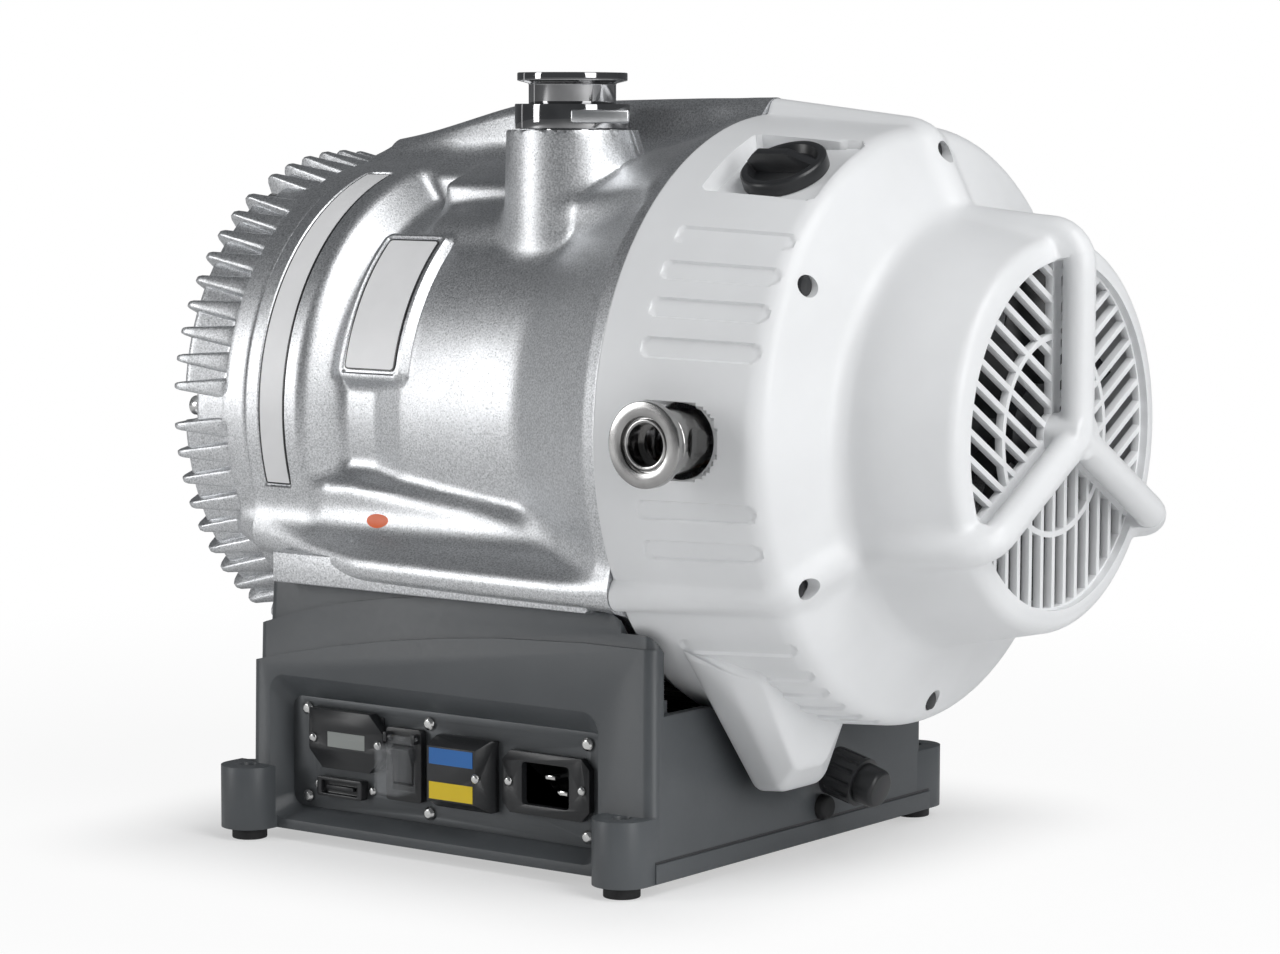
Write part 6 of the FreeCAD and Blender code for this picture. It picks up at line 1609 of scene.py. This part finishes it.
@dataclass
class ExhaustFitting:
    """The exhaust's vacuum flange with its round neck and two milled flats."""

    face: float = 172.0
    flange: float = 20.0
    barrel: float = 15.2
    neck: float = 13.5
    waist: float = 13.0
    bore: float = 10.0
    cutter: float = 18.0
    flat_depth: float = 1.9

    def build(self, shop: Workshop) -> None:
        """Turn the nozzle and mill its flats.

        Args:
            shop: Takes each finished mesh.
        """
        face = self.face
        outline = ((124.0, self.bore, 0), (124.0, self.neck, 0), (face - 32.0, self.neck, 0.4),
                   (face - 31.0, self.barrel, 0.5), (face - 12.0, self.barrel, 1.2), (face - 8.5, self.waist, 1.5),
                   (face - 6.6, self.waist, 1.5), (face - 4.4, self.flange, 0.5), (face, self.flange, 0.7),
                   (face, 13.1, 0.35), (face - 3.0, 13.1, 0.4), (face - 3.0, 11.6, 0.3), (face - 1.4, 11.6, 0.3),
                   (face - 1.4, self.bore, 0.5), (face - 12.0, self.bore, 0), (face - 12.0, 8.2, 0),
                   (face - 14.0, 8.2, 0), (face - 14.0, self.bore, 0))
        y = -(face - 21.5)
        ends = [EXHAUST_MM[0] + way * (self.barrel + self.cutter - self.flat_depth) for way in (-1.0, 1.0)]
        mesh = drilled(lathe(outline, EXHAUST_MM, Axis.Y),
                       [((x, y, 195.0), (x, y, 247.0), self.cutter, 96) for x in ends])
        shop.add("exhaust_flange", smooth_by_angle(mesh, 26.0), "nickel_steel", "exhaust_steel",
                 ("exhaust_nozzle",))


@dataclass(frozen=True)
class EdgeBreak:
    """How a CAD node's copy is merged and how its edges are broken."""

    width_mm: float = 0.5
    angle: float = 32.0
    flat: float = 2.0

    def copy(self, node: str) -> Mesh:
        """Return a merged copy of a CAD node with broken edges and smooth faces.

        Args:
            node: The CAD node.

        Returns:
            The mesh.
        """
        bm = bmesh.new()
        bm.from_mesh(frame["nodes"][node].data)
        bmesh.ops.remove_doubles(bm, verts=bm.verts, dist=2e-6)
        bmesh.ops.dissolve_limit(bm, angle_limit=math.radians(self.flat), verts=bm.verts, edges=bm.edges)
        mesh = bpy.data.meshes.new("piece")
        bm.to_mesh(mesh)
        bm.free()
        if self.width_mm > 0:
            mesh = modified(mesh, ("BEVEL", {"width": self.width_mm * MM, "segments": 2, "limit_method": "ANGLE",
                                             "angle_limit": math.radians(self.angle)}))
        return smooth_by_angle(mesh, self.angle)


@dataclass(frozen=True)
class ValveSpring:
    """The exhaust valve's spring, shown as its CAD node stands; in the pump it shortens towards its seat as the disc
    lifts.
    """

    node: str = "exhaust_valve_spring"
    seat_mm: Point = (163.0, -157.9, 221.0)
    length_mm: float = 26.5
    lift_mm: float = 4.0

    def build(self, shop: Workshop) -> None:
        """Show the spring as a copy of its CAD node, with a mesh of its own.

        Args:
            shop: Takes each finished mesh.
        """
        piece = shop.add("valve_spring_finished", EdgeBreak(0.0).copy(self.node), "bellows_steel",
                         replaces=(self.node,))
        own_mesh(piece)


@dataclass(frozen=True)
class LaidSheet:
    """Thin sheet with round corners that follows a surface about the shaft."""

    x_from: float
    x_to: float
    turn_from: float
    turn_to: float
    radius: float
    thickness: float
    corner: float

    def inset(self, amount: float, rise: float) -> "LaidSheet":
        """Return a sheet smaller by an amount all round, with its top higher by rise."""
        lean = math.degrees(amount / self.radius)
        return LaidSheet(self.x_from + amount, self.x_to - amount, self.turn_from + lean, self.turn_to - lean,
                         self.radius, self.thickness + rise, max(self.corner - amount, 0.4))

    def mesh(self, step: float = 1.2) -> Mesh:
        """Build the sheet from its lower face at the radius.

        Args:
            step: Degrees between two rows of points.

        Returns:
            The mesh.
        """
        lean = math.degrees(self.corner / self.radius)
        first, last = self.turn_from + lean, self.turn_to - lean
        turns = lines_between((self.turn_from, first, lean / 6), (first, last, step),
                              (last, self.turn_to, lean / 6))
        points = []
        top = self.radius + self.thickness
        for turn in turns:
            past = max(first - turn, turn - self.turn_to + lean, 0.0) / lean
            inset = self.corner * (1.0 - math.sqrt(max(1.0 - past * past, 0.0)))
            left, right = self.x_from + inset, self.x_to - inset
            for x, r in ((left, self.radius), (left, top), (right, top), (right, self.radius)):
                points.append(at_turn(x, r, turn))
        return smooth_by_angle(tube_of_rows(points, 4), 30.0)


@dataclass
class BarePlates:
    """The blank plates, patches and sticker: only their colours and borders, with nothing printed on them."""

    housing: HousingSkin
    strip: LaidSheet = LaidSheet(-114.4, -97.6, -17.4, 71.4, 125.05, 0.55, 1.2)
    square: LaidSheet = LaidSheet(-66.9, -34.1, 11.2, 48.3, 115.85, 0.55, 2.6)
    border: float = 0.9
    sticker_x: float = -42.6
    sticker_turn: float = -24.0
    sticker_half: tuple = (7.0, 2.6)

    def build(self, shop: Workshop) -> None:
        """Lay every plate and patch.

        Args:
            shop: Takes each finished mesh.
        """
        for name, sheet in (("strip_plate", self.strip), ("square_plate", self.square)):
            shop.add(f"{name}_border", sheet.mesh(), finish="dark_border_and_seam_shadow")
            shop.add(name, sheet.inset(self.border, 0.08).mesh(), finish="pale_plate")
        for name, low, high in (("blue_patch", 50.2, 58.3), ("yellow_patch", 32.7, 41.3)):
            shop.add(name, block((-3.6, -124.25, low), (24.0, -123.6, high), 0.0), "black_plastic", name)
        shop.add("orange_sticker", self.sticker(), finish="orange_dot")

    def sticker(self, sides: int = 36, radius: float = 124.0) -> Mesh:
        """Return the small oval sticker on the lower ledge, laid on the housing's skin.

        Args:
            sides: Steps right round.
            radius: About how far it is from the shaft line.

        Returns:
            The mesh.
        """
        length, height = self.sticker_half
        spots = [(self.sticker_x + length * share * math.cos(angle),
                  self.sticker_turn + math.degrees(height * share * math.sin(angle) / radius))
                 for share in (0.35, 0.7, 1.0) for angle in (2 * math.pi * k / sides for k in range(sides))]
        x, turn = np.array(spots).T
        laid = list(zip(x, self.housing.surface(x, turn), turn))
        points = [at_turn(a, r + 0.22, t) for a, r, t in laid] + [at_turn(a, r - 0.4, t) for a, r, t in laid[-sides:]]
        return smooth_by_angle(grid_mesh(np.array(points), 4, sides, False), 50.0)


@dataclass
class BaseTrim:
    """Skirt round the foot of the base's end wall, with a thin dark strip of painted shadow at the seam above it."""

    low: float = 6.2
    seam: float = 17.0
    wall_x: float = 134.0
    half_width: float = 122.0

    def build(self, shop: Workshop) -> None:
        """Add the skirt and, above it, a thin dark strip of painted shadow for the seam's gap, at the fan's end wall.
        """
        # The seam's gap is not cut: a dark strip laid on the wall paints its shadow.
        for part, out, low, high, edge, finish in (
                ("skirt", 0.9, self.low, self.seam - 1.3, 0.3, "base_paint"),
                ("seam", 0.12, self.seam - 1.4, self.seam, 0.0, "dark_border_and_seam_shadow")):
            mesh = block((self.wall_x - 0.6, -self.half_width, low), (self.wall_x + out, self.half_width, high), edge)
            shop.add(f"{part}_fan_end", mesh, "base_paint", finish)


@dataclass
class DressedNodes:
    """CAD nodes whose own shape is right: they get a finish and, where it shows, broken edges of a width."""

    edges: tuple = (
        (0.3, ("hour_meter", "logic_connector", "switch_housing", "switch_rocker", "voltage_selector",
               "power_inlet", "power_pins", "switch_guard", "control_panel_plate")),
        (2.0, ("base_casting",)), (0.6, ("rubber_feet", "connector_cap")), (0.4, ("cover_bolts", "cowl_screws")),
        (0.5, ("grille_insert", "gas_ballast_knob", "connector_collar", "connector_socket", "wall_grommet")),
        (0.2, ("panel_screws", "device_screws")))
    finish_of: dict[str, str] = field(default_factory=lambda: {
        "cover_bolts": "bolt_steel", "cowl_screws": "dark_screw"})

    def build(self, shop: Workshop) -> None:
        """Dress every node that no other class has replaced."""
        widths = {node: width for width, nodes in self.edges for node in nodes}
        for body, nodes in frame["record"]["behaviour"]["bodies"].items():
            for node in nodes:
                if frame["nodes"][node].hide_render:
                    continue
                slot = shop.node_slot[node]
                finish = self.finish_of.get(node, slot)
                if node in widths:
                    shop.add(f"{node}_finished", EdgeBreak(widths[node]).copy(node), slot, finish, (node,), body)
                else:
                    materials = frame["nodes"][node].data.materials
                    materials.clear()
                    materials.append(shop.materials[finish])


# Stage and camera
@dataclass
class Studio:
    """Floor, lamps and the camera at the photograph's place."""

    camera_mm: Point = (1142.8, -1498.6, 369.2)
    target_mm: Point = (41.74, -10.34, 186.6)
    roll: float = 0.17
    lens_mm: float = 102.71
    floor_half: float = 7000.0
    floor_colour: Point = (0.96, 0.96, 0.96)
    footprint_m: Point = (0.134, 0.143, 1.0)
    near_m: float = 0.11
    far_m: float = 0.8
    surround: float = 0.14

    def build(self) -> None:
        """Set the whole stage."""
        self.floor()
        self.lamps()
        self.world()
        self.camera()
        bpy.context.scene.view_settings.view_transform = "Standard"

    def floor(self) -> None:
        """Lay a pale floor that the camera sees nearly white, but for the object's shadow."""
        corners = [(x * self.floor_half, y * self.floor_half, 0.0) for x, y in ((-1, -1), (1, -1), (1, 1), (-1, 1))]
        mesh = mesh_of(corners, [(0, 1, 2, 3)], False)
        floor = bpy.data.objects.new("floor", mesh)
        bpy.context.scene.collection.objects.link(floor)
        b = Bench("Pale_Floor")
        pale = b.blend(b.noise(3.0, 2.0), self.floor_colour, tuple(v * 0.985 for v in self.floor_colour))
        b.finish({"Base Color": pale, "Roughness": 0.9, "Specular IOR Level": 0.1})
        glow = b.node("ShaderNodeEmission", None, {"Color": WHITE, "Strength": 1.0})
        path = b.node("ShaderNodeLightPath").outputs
        behind = b.maths("MAXIMUM", path["Is Glossy Ray"], path["Is Transmission Ray"])
        past = b.vectors("SUBTRACT", b.vectors("ABSOLUTE", b.place()), self.footprint_m)
        away = b.measure("LENGTH", b.vectors("MAXIMUM", past, (0.0, 0.0, 0.0)))
        fade = away.step(-0.02, self.near_m) * 0.46 + away.step(self.near_m, self.far_m) * 0.08 + 0.46
        share = (Maths(b, path["Is Camera Ray"]) * fade + behind * 0.1).clamp(0.0, 1.0)
        b.feed(b.output.inputs[0], b.node("ShaderNodeMixShader", None, {0: share, 1: b.shader, 2: glow}))
        mesh.materials.append(b.material)

    def lamps(self) -> None:
        """Hang four soft boxes: key from the upper left, a strip far left, fill on the fan's side, one above."""
        self.soft_box("key", (-1.42, -1.82, 0.74), (0.0, 0.0, 0.22), 0.55, 1.2, 14.0)
        self.soft_box("edge", (-2.2, -0.3, 0.5), (0.0, 0.0, 0.25), 0.16, 1.5, 0.8)
        self.soft_box("fill", (2.3, -0.6, 1.0), (0.1, 0.0, 0.22), 1.0, 1.6, 23.0)
        self.soft_box("top", (1.5, -0.3, 2.1), (0.1, 0.0, 0.2), 1.3, 1.0, 24.0)

    def soft_box(self, name: str, at: Point, to: Point, width: float, height: float, power: float) -> None:
        """Add one area lamp that faces a point.

        Args:
            name: The lamp's name.
            at: Its place in metres.
            to: The point it faces, in metres.
            width: Its width in metres.
            height: Its height in metres.
            power: Its power in watts.
        """
        data = bpy.data.lights.new(name, "AREA")
        data.shape = "RECTANGLE"
        data.size = width
        data.size_y = height
        data.energy = power
        lamp = bpy.data.objects.new(name, data)
        lamp.location = at
        lamp.rotation_euler = (Vector(to) - Vector(at)).to_track_quat("-Z", "Y").to_euler()
        bpy.context.scene.collection.objects.link(lamp)

    def world(self) -> None:
        """Give a pale surround that the camera sees as white."""
        world = bpy.data.worlds.new("surround")
        bpy.context.scene.world = world
        world.use_nodes = True
        w = Wiring(world.node_tree)
        light = w.node("ShaderNodeBackground", None, {"Color": (0.90, 0.93, 0.97), "Strength": self.surround})
        seen = w.node("ShaderNodeBackground", None, {"Color": WHITE, "Strength": 1.0})
        path = w.node("ShaderNodeLightPath").outputs
        share = w.maths("MAXIMUM", path["Is Camera Ray"], path["Is Transmission Ray"])
        mix = w.node("ShaderNodeMixShader", None, {0: share, 1: light, 2: seen})
        w.node("ShaderNodeOutputWorld", None, {0: mix})

    def camera(self) -> None:
        """Put the camera where the photograph was taken from."""
        data = bpy.data.cameras.new("camera")
        data.sensor_width = 36.0
        data.lens = self.lens_mm
        data.clip_start = 0.05
        data.clip_end = 60.0
        camera = bpy.data.objects.new("camera", data)
        at, to = Vector(self.camera_mm) * MM, Vector(self.target_mm) * MM
        turn = (to - at).to_track_quat("-Z", "Y").to_matrix().to_4x4()
        camera.matrix_world = (Matrix.Translation(at) @ turn
                               @ Matrix.Rotation(math.radians(self.roll), 4, "Z"))
        bpy.context.scene.collection.objects.link(camera)
        bpy.context.scene.camera = camera


def main() -> None:
    """Build the stage and every sub-assembly."""
    logging.basicConfig(level=logging.INFO)
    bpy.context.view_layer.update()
    Studio().build()
    shop = Workshop()
    housing = HousingSkin()
    for part in (housing, CoverSkin(), CowlSkin(), InletFitting(), ExhaustFitting(), ValveSpring(),
                 BarePlates(housing), BaseTrim(), DressedNodes()):
        part.build(shop)


if __name__ == "__main__":
    main()
